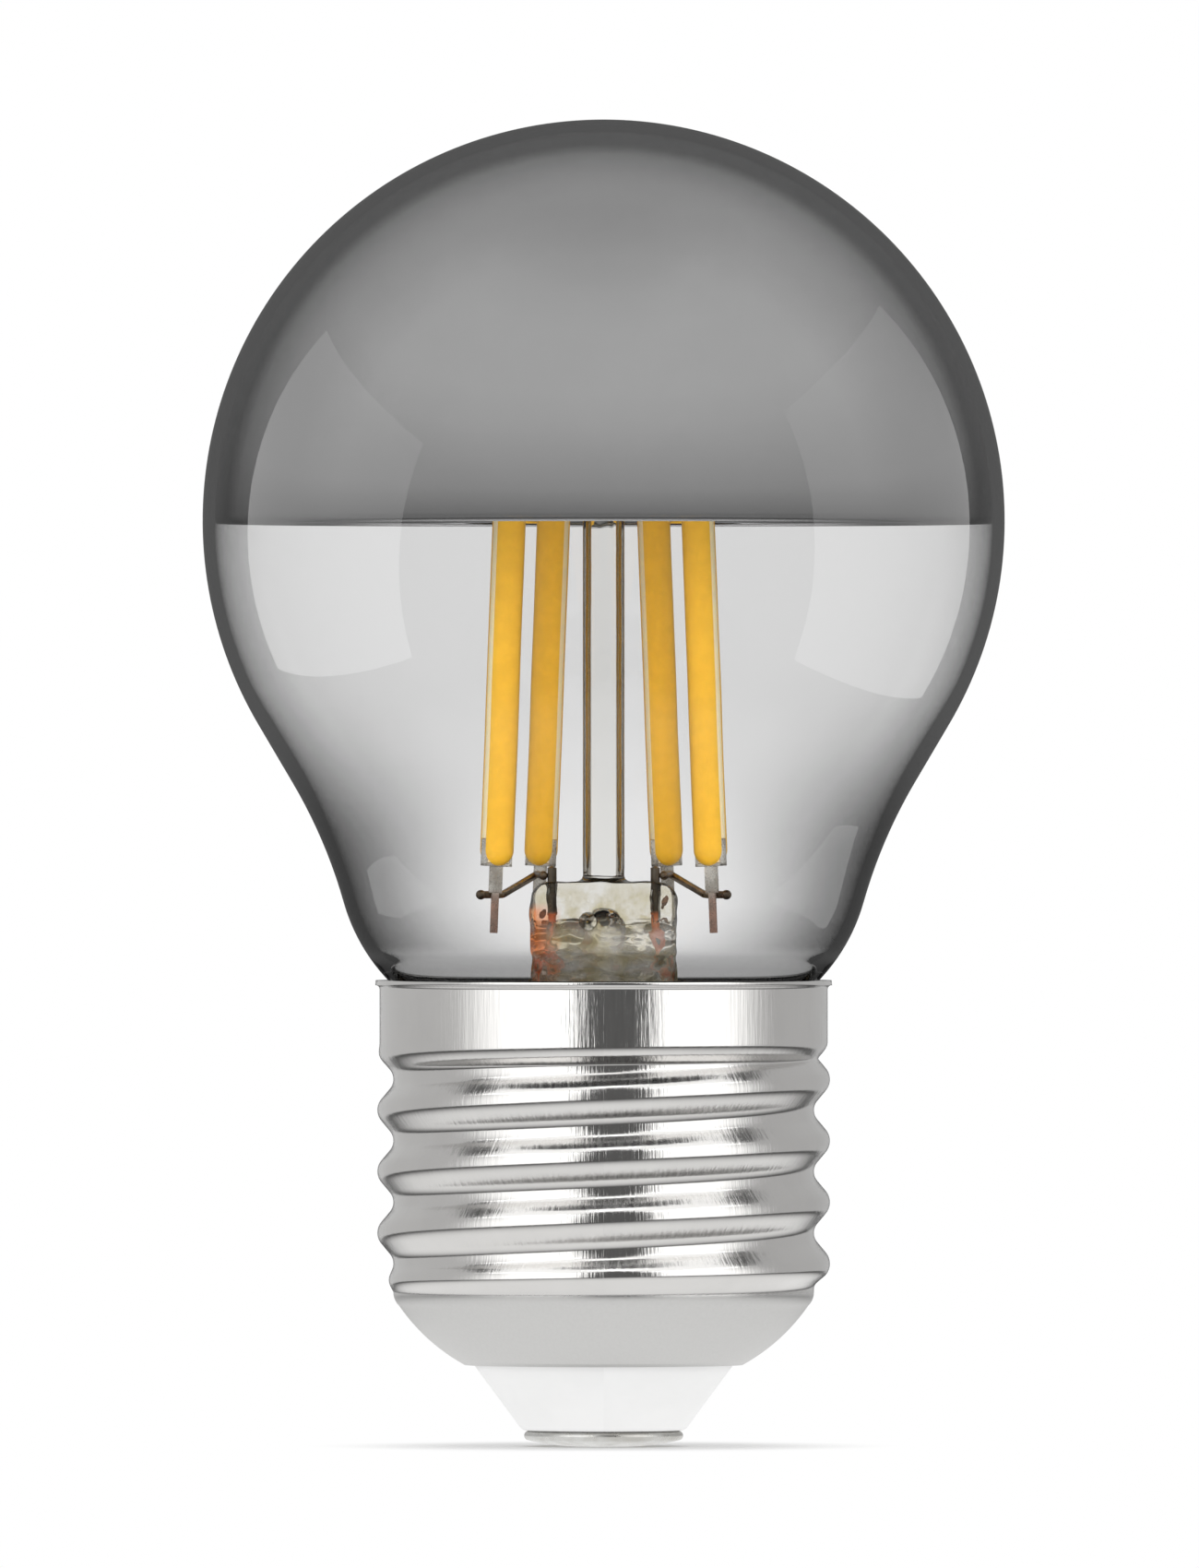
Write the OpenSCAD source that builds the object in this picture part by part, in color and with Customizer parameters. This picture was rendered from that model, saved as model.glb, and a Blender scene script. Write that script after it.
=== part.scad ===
// Crown-mirrored filament lamp on a 27 mm Edison screw cap.
// All sizes are in millimetres. +Z runs from the cap's centre contact to the mirrored crown.
// The origin is the middle of the flat land under the centre contact.
// The lamp is seen from -Y, with +X on the right.

/* [Globe] */
// Outside diameter of the round globe
globe_d = 47.4; // [45:0.1:60]
// Wall of the blown glass
glass_t = 0.7; // [0.5:0.05:1]
// Angle of the straight cone under the globe, measured from the lamp's axis
taper_angle = 30.5; // [27:0.5:33]
// Radius of the hollow curve in the neck
neck_curve_r = 30; // [26:0.5:32]
// Angle at which the hollow curve turns over into the shoulder
turn_angle = 15.75; // [12:0.25:18]
// Radius of the shoulder that turns in above the cap
shoulder_r = 11; // [10:0.1:12]
// Distance of the neck's straight end inside the face of the cap's skirt
neck_step = 1.44; // [1.34:0.05:1.74]
// Fillet between the shoulder and the straight end of the neck
neck_fillet = 1.5; // [1:0.1:2]

/* [Crown mirror] */
// Height of the mirror's edge above (+) or below (-) the globe's widest line
mirror_edge = -0.2; // [-2:0.1:4]
// Thickness of the silver coat on the inside of the glass
mirror_t = 0.12; // [0.08:0.01:0.2]

/* [Glass stem] */
// Width of the pinched press
press_w = 8.8; // [8.4:0.1:9.4]
// Thickness of the pinched press
press_t = 3.2; // [2.8:0.1:4]
// Height of the press's top above the cap's lip
press_rise = 5.9; // [5:0.1:6.4]
// Height of the press, from its top down to the open tube
press_h = 6.4; // [6:0.1:7]
// Wall of the stem's tube and flare
stem_wall = 0.8; // [0.6:0.05:1]
// Radius of the flare's curve
flare_r = 4.9; // [4.2:0.1:5.2]
// Diameter of the glass rod that holds up the filament wires
rod_d = 2.5; // [2:0.1:3]
// Diameter of the melted ball at the top of the rod
rod_ball_d = 3.6; // [3.4:0.1:4.4]
// Diameter of the exhaust tube
exhaust_d = 3.4; // [3:0.1:3.8]
// Bore of the exhaust tube
exhaust_bore = 2.3; // [1.6:0.1:2.4]
// Length of the exhaust tube under the press
exhaust_l = 11; // [9:0.1:11.4]
// Diameter of the blow hole in the side of the press
blow_hole_d = 0.9; // [0.6:0.05:1]

/* [Filaments] */
// Length of a filament's phosphor bead, as a share of the globe's diameter
bead_share = 0.591; // [0.42:0.001:0.61]
// Width of a bead and of the strip under it
bead_w = 1.9; // [1.6:0.05:2.1]
// Height of one bead above its strip
bead_h = 0.75; // [0.6:0.05:0.8]
// Thickness of the strip that carries the beads
strip_t = 0.5; // [0.4:0.05:0.6]
// Height of the lower bead ends above the top of the press
bead_rise = 0.9; // [0.7:0.05:1.3]
// Distance of the filament feet from the lamp's axis
foot_ring_r = 7.3; // [6.8:0.1:8]
// Distance of the filament heads from the lamp's axis
head_ring_r = 6.1; // [5:0.1:7]
// Angle of the front pair, from the left and right towards the viewer
front_angle = 30; // [24:1:36]
// Angle of the rear pair's feet, from the left and right away from the viewer
rear_angle = 59; // [55:1:64]
// Angle of the rear pair's heads, from the left and right away from the viewer
rear_head_angle = 64; // [55:1:68]
// Turn of the front pair's faces towards the middle
front_yaw = 33; // [20:1:40]
// Turn of the rear pair's faces away from the middle
rear_yaw = 33; // [20:1:40]
// Thickness of the metal end clips
clip_t = 0.2; // [0.15:0.05:0.25]
// Length of a clip's arms along the strip
clip_arm_l = 1.6; // [1.2:0.1:2.5]
// Width of the wide part of a clip's tail
tail_w = 0.85; // [0.7:0.05:1]
// Length of the wide part of a clip's tail
tail_l = 1.6; // [1.2:0.1:2]
// Width of the trimmed end of a clip's tail
stub_w = 0.45; // [0.3:0.05:0.6]
// Length of the trimmed end of a lower tail
stub_l = 2.4; // [1.5:0.1:2.8]

/* [Wires] */
// Distance of the lead wires from the lamp's axis
lead_x = 3.05; // [2.9:0.05:3.2]
// Diameter of the nickel part of a lead wire
lead_d = 0.55; // [0.4:0.05:0.6]
// Diameter of the copper-clad part of a lead wire
dumet_d = 0.4; // [0.3:0.05:0.45]
// Depth to which the nickel part runs into the press
nickel_depth = 1.9; // [1.5:0.1:2.5]
// Height of the lead wires' upper ends above the press
lead_rise = 0.8; // [0.6:0.1:1]
// Diameter of the wires that join the filaments
cross_wire_d = 0.44; // [0.3:0.02:0.5]

/* [Driver] */
// Diameter of the round circuit board
board_d = 18.6; // [17:0.1:19.4]
// Thickness of the circuit board
board_t = 1; // [0.8:0.1:1.2]
// Height of the board's underside above the origin
board_z = 12.6; // [12.2:0.1:13]
// Diameter of the smoothing capacitor
capacitor_d = 6.3; // [5:0.1:6.5]
// Height of the smoothing capacitor
capacitor_h = 7; // [5:0.1:7.2]
// Diameter of the fusible resistor
resistor_d = 2.4; // [1.8:0.1:2.6]
// Length of the fusible resistor's body
resistor_l = 6.3; // [5:0.1:7]
// Size of the rectifier's body along X, Y and Z
rectifier_size = [4.7, 3.9, 1.6];
// Size of the driver chip's body along X, Y and Z
chip_size = [4.9, 3.9, 1.5];
// Size of one chip resistor along X, Y and Z
chip_resistor_size = [2, 1.25, 0.5];

/* [Screw cap] */
// Thickness of the cap's sheet metal
shell_t = 0.3; // [0.2:0.02:0.34]
// Reach of the thread's crests beyond the face of the skirt
crest_step = 0.13; // [0.09:0.01:0.26]
// Pitch of the thread
thread_pitch = 3.629; // [3.6:0.001:3.7]
// Fillet radius of the crests
crest_fillet = 0.7; // [0.6:0.01:0.8]
// Fillet radius of the roots
root_fillet = 1.2; // [1.1:0.01:1.3]
// Slope of the flanks, measured from the lamp's axis
flank_angle = 40; // [38:0.5:41]
// Height at which the thread begins, over the bowl
thread_bottom = 9.1; // [8.9:0.1:9.5]
// Height at which the thread has run out into the skirt
thread_top = 23.9; // [23.5:0.1:24.2]
// Height over which the thread fades at either end
thread_fade = 1.3; // [1:0.1:1.8]
// Turn of the thread about the lamp's axis
thread_turn = 168; // [0:1:359]
// Radius of the plain skirt over the thread
skirt_r = 12.94; // [12.9:0.01:13]
// Height at which the skirt turns out into the lip
skirt_top = 27; // [26.8:0.05:27.2]
// Reach of the lip's outer edge beyond the face of the skirt
lip_reach = 0.53; // [0.46:0.01:0.56]
// Radius of the curve in which the lip turns out
lip_curve_r = 0.54; // [0.52:0.01:0.6]
// Radius of the bend between the thread and the bowl
bowl_bend_r = 0.8; // [0.6:0.05:1]
// Slope of the bowl, measured from the lamp's axis
bowl_angle = 47.8; // [46:0.1:49]
// Radius of the bowl's lower edge
bowl_mouth_r = 8.07; // [7.9:0.01:8.3]

/* [Insulator and contact] */
// Slope of the insulator's cone, measured from the lamp's axis
cone_angle = 36; // [34:0.5:37]
// Height of the insulator above the bowl's lower edge, inside the cap
plug_h = 1.8; // [1.2:0.1:2.4]
// Radius of the centre contact
contact_r = 4.7; // [4.5:0.05:4.8]
// Height of the centre contact's domed head
contact_h = 0.93; // [0.8:0.01:1]
// Radius of the flat land in the middle of the contact
land_r = 2; // [1.5:0.1:2.5]
// Radius of the contact's shank
shank_r = 1.3; // [1.1:0.05:1.6]
// Diameter of the live wire that ends in the shank
live_wire_d = 0.7; // [0.5:0.05:0.8]
// Diameter of the side wire that ends on the shell
side_wire_d = 0.7; // [0.5:0.05:0.8]

/* [Hidden] */
$fn = 48;

// Sizes that follow the skirt and the globe
neck_r = skirt_r - neck_step;
crest_r = skirt_r + crest_step;
bead_l = bead_share * globe_d;

// Clearances
bond_gap = 0.02;      // between pieces that are cemented, soldered or welded together
rim_gap = 0.06;       // between the glass and the lip of the cap
board_hole_gap = 0.1; // around a wire in its hole in the board
cut_over = 1;         // by which a cutting shape runs past what it cuts
wire_sides = 12;      // sides of a bent wire

// Sheet-metal lip: an arc that turns out from the skirt until it reaches its edge
lip_turn = acos(1 - lip_reach / lip_curve_r);
lip_centre = [skirt_r + lip_curve_r, skirt_top];

// Glass outline: globe, straight cone, hollow neck curve and shoulder, each tangent to the next.
// It is built upwards from the shoulder, which clears the inner curve of the lip.
rim_slope = 43;
shoulder_reach = shoulder_r + rim_gap + lip_curve_r + shell_t;
shoulder_c = lip_centre - shoulder_reach * [cos(rim_slope), -sin(rim_slope)];
function slope_dir(angle) = [cos(angle), -sin(angle)];
turn_p = shoulder_c + shoulder_r * slope_dir(turn_angle);
neck_c = turn_p + neck_curve_r * slope_dir(turn_angle);
taper_low = neck_c - neck_curve_r * slope_dir(taper_angle);
globe_r = globe_d / 2;
taper_l = (globe_r * cos(taper_angle) - taper_low[0]) / sin(taper_angle);
taper_high = taper_low + taper_l * [sin(taper_angle), cos(taper_angle)];
globe_z = taper_high[1] + globe_r * sin(taper_angle);
fillet_x = neck_r + neck_fillet;
fillet_drop = sqrt(pow(shoulder_r + neck_fillet, 2) - pow(fillet_x - shoulder_c[0], 2));
fillet_c = [fillet_x, shoulder_c[1] - fillet_drop];
fillet_angle = asin(fillet_drop / (shoulder_r + neck_fillet));

// Stem: the flare is sealed to the end of the neck, the tube rises from it to the press
press_top = skirt_top + press_rise + lip_curve_r;
press_low = press_top - press_h;
tube_r = press_w / 2;
tube_l = 0.2;        // straight tube between the press and the flare
seal_z = press_low - flare_r - tube_l;
ball_rise = 1.5;     // middle of the ball, above the filaments' upper tails
rod_top = press_top + bead_rise + bead_l + tail_l + ball_rise;
bore_depth = 1.6;    // top of the exhaust bore, below the top of the press
exhaust_top = press_top - bore_depth;
exhaust_low = press_low - exhaust_l;

// Filaments: feet and heads stand on two rings about the axis
foot_z = press_top + bead_rise;
function ring_point(radius, angle, z) = [-radius * cos(angle), -radius * sin(angle), z];
front_foot = ring_point(foot_ring_r, front_angle, foot_z);
front_head = ring_point(head_ring_r, front_angle, foot_z + bead_l);
rear_foot = ring_point(foot_ring_r, -rear_angle, foot_z);
rear_head = ring_point(head_ring_r, -rear_head_angle, foot_z + bead_l);
bead_round_r = (pow(bead_w / 2, 2) + pow(bead_h, 2)) / (2 * bead_h);
strip_inset = 0.2;
head_stub_l = 0.4;

// Wires: they lie against the flat faces of the tails, a fillet of weld away
weld_t = 0.06;
front_weld = 0.1;    // beyond the front tail's wide part
rear_weld = 0.5;     // below the rear filament's foot
lead_weld = 0.35;    // above the press
head_weld = 0.2;     // short of the end of an upper tail's wide part
lead_end_l = 0.6;    // end of a lead wire under the board
weld_reach = clip_t / 2 + cross_wire_d / 2 + weld_t;
lead_top = press_top + lead_rise;
head_wire_step = 0.5; // of the two head wires above and below the middle of the ball

// Thread: crest arc, straight flank and root arc, repeated once a pitch
thread_columns = 48;
thread_rows_per_pitch = 10;
crest_end = crest_fillet * sin(flank_angle);
root_start = thread_pitch / 2 - root_fillet * sin(flank_angle);
flank_drop = (root_start - crest_end) * tan(flank_angle);
root_r = crest_r - (crest_fillet + root_fillet) * (1 - cos(flank_angle)) - flank_drop;
function thread_fall(u) =
    u < crest_end ? crest_fillet - sqrt(pow(crest_fillet, 2) - u * u)
    : u < root_start ? crest_fillet * (1 - cos(flank_angle)) + (u - crest_end) * tan(flank_angle)
    : crest_r - root_r - root_fillet + sqrt(pow(root_fillet, 2) - pow(thread_pitch / 2 - u, 2));
function smooth(t) = let (c = min(1, max(0, t))) c * c * (3 - 2 * c);
function crest_distance(z, angle) =
    let (turns = (z - thread_bottom) / thread_pitch - (angle + thread_turn) / 360)
    abs(turns - round(turns)) * thread_pitch;
function threaded_r(z, angle) =
    let (full = crest_r - thread_fall(crest_distance(z, angle)))
    let (low = root_r + (full - root_r) * smooth((z - thread_bottom) / thread_fade))
    skirt_r + (low - skirt_r) * smooth((thread_top - z) / thread_fade);

// Bowl: a bend under the thread, then a straight cone down to the mouth
bowl_c = [root_r - bowl_bend_r, thread_bottom];
bowl_turn = 90 - bowl_angle;
bowl_start = bowl_c + bowl_bend_r * [cos(bowl_angle), -sin(bowl_angle)];
mouth_z = bowl_start[1] - (bowl_start[0] - bowl_mouth_r) / tan(bowl_angle);
function bowl_inner(z) = bowl_mouth_r + (z - mouth_z) * tan(bowl_angle) - shell_t / cos(bowl_angle);

// Insulator and contact
insulator_top = mouth_z + plug_h;
waist_r = bowl_inner(mouth_z + shell_t * sin(bowl_angle)) - bond_gap;
contact_edge_t = 0.35;
shank_top = insulator_top + 0.5;

function arc(centre, radius, from, to, steps) =
    [for (i = [0 : steps]) let (a = from + (to - from) * i / steps) centre + radius * [cos(a), sin(a)]];

// Straight round rod from one point to another
module rod(from, to, r) {
    span = to - from;
    translate(from)
        rotate([0, acos(span[2] / norm(span)), atan2(span[1], span[0])])
            cylinder(h = norm(span), r = r);
}

// Round wire through a list of points that all lie across the direction called side.
// A ring of vertices stands at each point, square to the wire or halfway round its bend.
module wire(points, r, side) {
    last = len(points) - 1;
    function unit(v) = v / norm(v);
    function heading(i) = unit(
        (i > 0 ? unit(points[i] - points[i - 1]) : [0, 0, 0])
        + (i < last ? unit(points[i + 1] - points[i]) : [0, 0, 0])
    );
    vertices = [
        for (i = [0 : last], k = [0 : wire_sides - 1])
            let (out = unit(cross(side, heading(i))))
            let (across = cross(heading(i), out))
            let (a = k * 360 / wire_sides)
            points[i] + r * (cos(a) * out + sin(a) * across)
    ];
    faces = concat(
        [[for (k = [0 : wire_sides - 1]) k]],
        [
            for (i = [0 : last - 1], k = [0 : wire_sides - 1], half = [0, 1])
                let (next = (k + 1) % wire_sides)
                let (a = i * wire_sides)
                half == 0
                    ? [a + k, a + wire_sides + next, a + next]
                    : [a + k, a + wire_sides + k, a + wire_sides + next]
        ],
        [[for (k = [wire_sides - 1 : -1 : 0]) last * wire_sides + k]]
    );
    polyhedron(vertices, faces);
}

module mirrored_x() {
    mirror([1, 0, 0]) children();
}

// Outline of the glass from the crown down to the seal, moved inwards by inset
function envelope_line(inset) = concat(
    arc([0, globe_z], globe_r - inset, 90, -taper_angle, 40),
    arc(neck_c, neck_curve_r + inset, 180 - taper_angle, 180 - turn_angle, 6),
    arc(shoulder_c, shoulder_r - inset, -turn_angle, -fillet_angle, 12),
    arc(fillet_c, neck_fillet + inset, 180 - fillet_angle, 180, 6),
    [[neck_r - inset, seal_z]]
);

module glass_envelope() {
    outer = envelope_line(0);
    inner = envelope_line(glass_t);
    color([0.8, 0.85, 0.88, 0.35])
        rotate_extrude()
            polygon(concat(outer, [for (i = [len(inner) - 1 : -1 : 0]) inner[i]]));
}

// Silver coat: a thin cap of a sphere that lies against the inside of the glass
module crown_mirror() {
    outer_r = globe_r - glass_t - bond_gap;
    color("silver")
        intersection() {
            translate([0, 0, globe_z])
                difference() {
                    sphere(r = outer_r);
                    sphere(r = outer_r - mirror_t);
                }
            translate([-globe_r, -globe_r, globe_z + mirror_edge]) cube(globe_d);
        }
}

// Half section of the flared tube, drawn larger outside or smaller inside by inset
module flare_outline(inset) {
    difference() {
        translate([0, seal_z - stem_wall]) square([neck_r, press_low - seal_z + stem_wall]);
        translate([tube_r + flare_r, seal_z + flare_r]) circle(r = flare_r + inset);
        translate([tube_r + flare_r, seal_z - inset]) square([neck_r, flare_r * 2]);
        translate([tube_r - inset, seal_z + flare_r]) square([neck_r, flare_r]);
    }
}

// Cylinder pinched flat by the press: two slanted cuts run into two upright ones
module press_body() {
    slant_h = 2.2;
    corner_r = 1.2;
    intersection() {
        translate([0, 0, press_low]) cylinder(h = press_h, r = tube_r);
        rotate([90, 0, 90])
            translate([0, 0, -tube_r - cut_over])
                linear_extrude(press_w + 2 * cut_over)
                    polygon([
                        [-tube_r, press_low],
                        [-press_t / 2, press_low + slant_h],
                        [-press_t / 2, press_top],
                        [press_t / 2, press_top],
                        [press_t / 2, press_low + slant_h],
                        [tube_r, press_low]
                    ]);
        rotate([90, 0, 0])
            translate([0, 0, -tube_r])
                linear_extrude(press_w)
                    union() {
                        for (side = [-1, 1])
                            translate([side * (tube_r - corner_r), press_top - corner_r])
                                circle(r = corner_r);
                        translate([-tube_r, press_low]) square([press_w, press_h - corner_r]);
                        translate([corner_r - tube_r, press_low]) square([press_w - 2 * corner_r, press_h]);
                    }
    }
}

// Flare, press, exhaust tube and support rod, melted together into one piece of glass
module glass_stem() {
    color([0.82, 0.86, 0.8, 0.5])
        difference() {
            union() {
                rotate_extrude()
                    difference() {
                        flare_outline(0);
                        flare_outline(stem_wall);
                    }
                press_body();
                translate([0, 0, exhaust_low + exhaust_d / 2])
                    cylinder(h = exhaust_l - exhaust_d / 2, r = exhaust_d / 2);
                translate([0, 0, exhaust_low + exhaust_d / 2]) sphere(r = exhaust_d / 2);
                translate([0, 0, press_top - cut_over])
                    cylinder(h = rod_top - press_top + cut_over, r = rod_d / 2);
                translate([0, 0, rod_top]) sphere(r = rod_ball_d / 2);
            }
            translate([0, 0, exhaust_low + exhaust_d])
                cylinder(h = exhaust_top - exhaust_bore / 2 - exhaust_low - exhaust_d, r = exhaust_bore / 2);
            translate([0, 0, exhaust_top - exhaust_bore / 2]) sphere(r = exhaust_bore / 2);
            blow_hole();
            lead_wire_left();
            lead_wire_right();
            head_wire_front();
            head_wire_rear();
        }
}

// Hole through which the exhaust tube opens into the globe
module blow_hole() {
    inner_end = [-exhaust_bore / 4, 0, exhaust_top - exhaust_bore / 2];
    outer_end = [-exhaust_bore / 2, -press_t / 2 - cut_over, exhaust_top - exhaust_bore / 4];
    rod(inner_end, outer_end, blow_hole_d / 2);
}

// Places a filament between its foot and its head, with its face turned by yaw
module on_filament(foot, head, yaw) {
    span = head - foot;
    bearing = atan2(span[1], span[0]);
    translate(foot)
        rotate([0, acos(span[2] / norm(span)), bearing])
            rotate([0, 0, yaw - bearing])
                children();
}

// Carrier strip: its ends are narrowed for the arms of the clips
module strip() {
    narrow_w = bead_w - 2 * clip_t - 2 * bond_gap;
    translate([-bead_w / 2, -strip_t / 2, clip_arm_l + bond_gap])
        cube([bead_w, strip_t, bead_l - 2 * clip_arm_l - 2 * bond_gap]);
    translate([-narrow_w / 2, -strip_t / 2, strip_inset])
        cube([narrow_w, strip_t, bead_l - 2 * strip_inset]);
}

// Two phosphor beads with round ends, one on each face of the strip
module phosphor() {
    face_y = strip_t / 2;
    centre_y = face_y + bead_h - bead_round_r;
    for (turn = [0, 180])
        rotate([0, 0, turn])
            intersection() {
                translate([0, centre_y, 0]) {
                    translate([0, 0, bead_round_r]) cylinder(h = bead_l - 2 * bead_round_r, r = bead_round_r);
                    translate([0, 0, bead_round_r]) sphere(r = bead_round_r);
                    translate([0, 0, bead_l - bead_round_r]) sphere(r = bead_round_r);
                }
                translate([-bead_w, face_y, -cut_over]) cube([2 * bead_w, bead_w, bead_l + 2 * cut_over]);
            }
}

// One end clip: two arms along the strip, a bridge under its end and a trimmed tail
module clip(stub) {
    bridge_h = strip_inset - bond_gap;
    for (side = [0, 1])
        mirror([side, 0, 0])
            translate([bead_w / 2 - clip_t, -strip_t / 2, 0]) cube([clip_t, strip_t, clip_arm_l]);
    translate([-bead_w / 2, -strip_t / 2, 0]) cube([bead_w, strip_t, bridge_h]);
    translate([-tail_w / 2, -clip_t / 2, -tail_l]) cube([tail_w, clip_t, tail_l + bridge_h]);
    translate([-stub_w / 2, -clip_t / 2, -tail_l - stub]) cube([stub_w, clip_t, tail_l + stub]);
}

module clips() {
    clip(stub_l);
    translate([0, 0, bead_l]) mirror([0, 0, 1]) clip(head_stub_l);
}

module front_left_strip() {
    color("mistyrose") on_filament(front_foot, front_head, front_yaw) strip();
}

module front_left_phosphor() {
    color("gold") on_filament(front_foot, front_head, front_yaw) phosphor();
}

module front_left_clips() {
    color("gray") on_filament(front_foot, front_head, front_yaw) clips();
}

module rear_left_strip() {
    color("mistyrose") on_filament(rear_foot, rear_head, -rear_yaw) strip();
}

module rear_left_phosphor() {
    color("gold") on_filament(rear_foot, rear_head, -rear_yaw) phosphor();
}

module rear_left_clips() {
    color("gray") on_filament(rear_foot, rear_head, -rear_yaw) clips();
}

// Lead wire: nickel above and in the top of the press, copper-clad below, down to the board
module lead_wire_left() {
    copper_top = press_top - nickel_depth;
    color("rosybrown") {
        rod([-lead_x, 0, board_z - lead_end_l], [-lead_x, 0, copper_top], dumet_d / 2);
        rod([-lead_x, 0, copper_top], [-lead_x, 0, lead_top], lead_d / 2);
    }
}

module lead_wire_right() {
    mirrored_x() lead_wire_left();
}

// Point beside the flat face of a tail, a distance beyond the end of its filament.
// It lies behind the tail where side is 1, and before it where side is -1.
function beside_tail(end, other_end, yaw, beyond, side) =
    end + beyond * (end - other_end) / norm(end - other_end) + side * weld_reach * [-sin(yaw), cos(yaw), 0];

// Wire that runs behind the front tail, back to the rear tail and forward to the lead wire
module cross_wire_left() {
    run = 0.75;
    front_p = beside_tail(front_foot, front_head, front_yaw, tail_l + front_weld, 1);
    rear_p = beside_tail(rear_foot, rear_head, -rear_yaw, rear_weld, -1);
    along_tail = run * [cos(front_yaw), sin(front_yaw), 0];
    wrap = lead_d / 2 + cross_wire_d / 2 + bond_gap;
    lead_p = [-lead_x - wrap, 0, press_top + lead_weld];
    color("tan")
        wire([front_p - along_tail, front_p + along_tail, rear_p, lead_p], cross_wire_d / 2, [0, 0, 1]);
}

module cross_wire_right() {
    mirrored_x() cross_wire_left();
}

// Bent wire that joins a pair of filament heads through the ball on the rod
module head_wire(foot, head, yaw, side, z_offset) {
    end = beside_tail(head, foot, yaw, tail_l - head_weld, side);
    wire([end, [0, 0, rod_top + z_offset], [-end[0], end[1], end[2]]], cross_wire_d / 2, [0, 1, 0]);
}

module head_wire_front() {
    color("tan") head_wire(front_foot, front_head, front_yaw, 1, head_wire_step);
}

module head_wire_rear() {
    color("tan") head_wire(rear_foot, rear_head, -rear_yaw, -1, -head_wire_step);
}

// Ring of cement between the glass and the skirt, from the thread up to just under the lip
module basing_cement() {
    rim_depth = 0.4;
    low = thread_top + bond_gap;
    high = skirt_top - rim_depth;
    outer_r = skirt_r - shell_t - bond_gap;
    glass_curve_r = shoulder_r + bond_gap;
    high_angle = asin((shoulder_c[1] - high) / glass_curve_r);
    color("wheat")
        rotate_extrude()
            polygon(concat(
                [[neck_r + bond_gap, low]],
                arc(fillet_c, neck_fillet - bond_gap, 180, 180 - fillet_angle, 6),
                arc(shoulder_c, glass_curve_r, -fillet_angle, -high_angle, 4),
                [[outer_r, high], [outer_r, low]]
            ));
}

// Places of the parts on the board
capacitor_y = 5.6;
resistor_y = -5;
rectifier_p = [-4.4, 3.2];
chip_p = [4.2, -3.1];
chip_resistor_p = [[4.2, 3.4], [4.2, 5.4], [-4.6, -3.6]];
side_wire_p = [-6.6, -4.4];
board_top = board_z + board_t;
wire_end_l = 0.3; // end of a wire over the board

module driver_board() {
    color("seagreen")
        translate([0, 0, board_z])
            difference() {
                cylinder(h = board_t, r = board_d / 2);
                for (x = [-lead_x, lead_x])
                    board_hole([x, 0], dumet_d);
                board_hole([0, 0], live_wire_d);
                board_hole(side_wire_p, side_wire_d);
            }
}

module board_hole(p, wire_d) {
    translate([p[0], p[1], -cut_over]) cylinder(h = board_t + 2 * cut_over, r = wire_d / 2 + board_hole_gap);
}

module smoothing_capacitor() {
    groove_r = 0.3;
    groove_z = 1.2;
    color("midnightblue")
        translate([0, capacitor_y, board_top + bond_gap])
            difference() {
                cylinder(h = capacitor_h, r = capacitor_d / 2);
                translate([0, 0, groove_z])
                    rotate_extrude()
                        translate([capacitor_d / 2 + groove_r / 2, 0]) circle(r = groove_r);
            }
}

// Resistor with two bent leads that stand on the board
module fusible_resistor() {
    lead_r = 0.25;
    stand_h = 0.3;
    bend_l = 1;
    axis_z = board_top + resistor_d / 2 + stand_h;
    end_x = resistor_l / 2 + bend_l;
    color("cornflowerblue") {
        rod([-resistor_l / 2, resistor_y, axis_z], [resistor_l / 2, resistor_y, axis_z], resistor_d / 2);
        wire(
            [
                [-end_x, resistor_y, board_top + bond_gap],
                [-end_x, resistor_y, axis_z],
                [end_x, resistor_y, axis_z],
                [end_x, resistor_y, board_top + bond_gap]
            ],
            lead_r,
            [0, 1, 0]
        );
    }
}

// Flat plastic body with feet on two sides, hung under the board
module surface_chip(size, feet, foot_w) {
    foot_l = 0.7;
    foot_t = 0.25;
    row = size[0] / feet;
    translate([0, 0, board_z - bond_gap]) {
        translate([-size[0] / 2, -size[1] / 2, -size[2]]) cube([size[0], size[1], size[2] - foot_t / 2]);
        for (i = [0 : feet - 1], side = [0, 1])
            mirror([0, side, 0])
                translate([(i + 0.5) * row - size[0] / 2 - foot_w / 2, size[1] / 2 - foot_l / 2, -foot_t])
                    cube([foot_w, foot_l * 1.5, foot_t]);
    }
}

module bridge_rectifier() {
    color("dimgray") translate(rectifier_p) surface_chip(rectifier_size, 2, 0.7);
}

module driver_chip() {
    color("dimgray") translate(chip_p) surface_chip(chip_size, 4, 0.45);
}

module chip_resistors() {
    color("black")
        for (p = chip_resistor_p)
            translate([p[0], p[1], board_z - bond_gap - chip_resistor_size[2] / 2])
                cube(chip_resistor_size, center = true);
}

// Cones of solder over the board, one where each wire comes through
module solder_joints() {
    joint_h = 0.7;
    foot_t = 0.6;
    top_t = 0.2;
    color("lightgray")
        translate([0, 0, board_top + bond_gap])
            for (joint = [[[-lead_x, 0], dumet_d], [[lead_x, 0], dumet_d], [side_wire_p, side_wire_d]])
                translate(joint[0])
                    difference() {
                        cylinder(h = joint_h, r1 = joint[1] / 2 + foot_t, r2 = joint[1] / 2 + top_t);
                        translate([0, 0, -cut_over])
                            cylinder(h = joint_h + 2 * cut_over, r = joint[1] / 2 + bond_gap);
                    }
}

// Wire from the board down into the shank of the centre contact
module live_wire() {
    color("firebrick")
        rod([0, 0, contact_h + contact_edge_t + bond_gap], [0, 0, board_top + wire_end_l], live_wire_d / 2);
}

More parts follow.
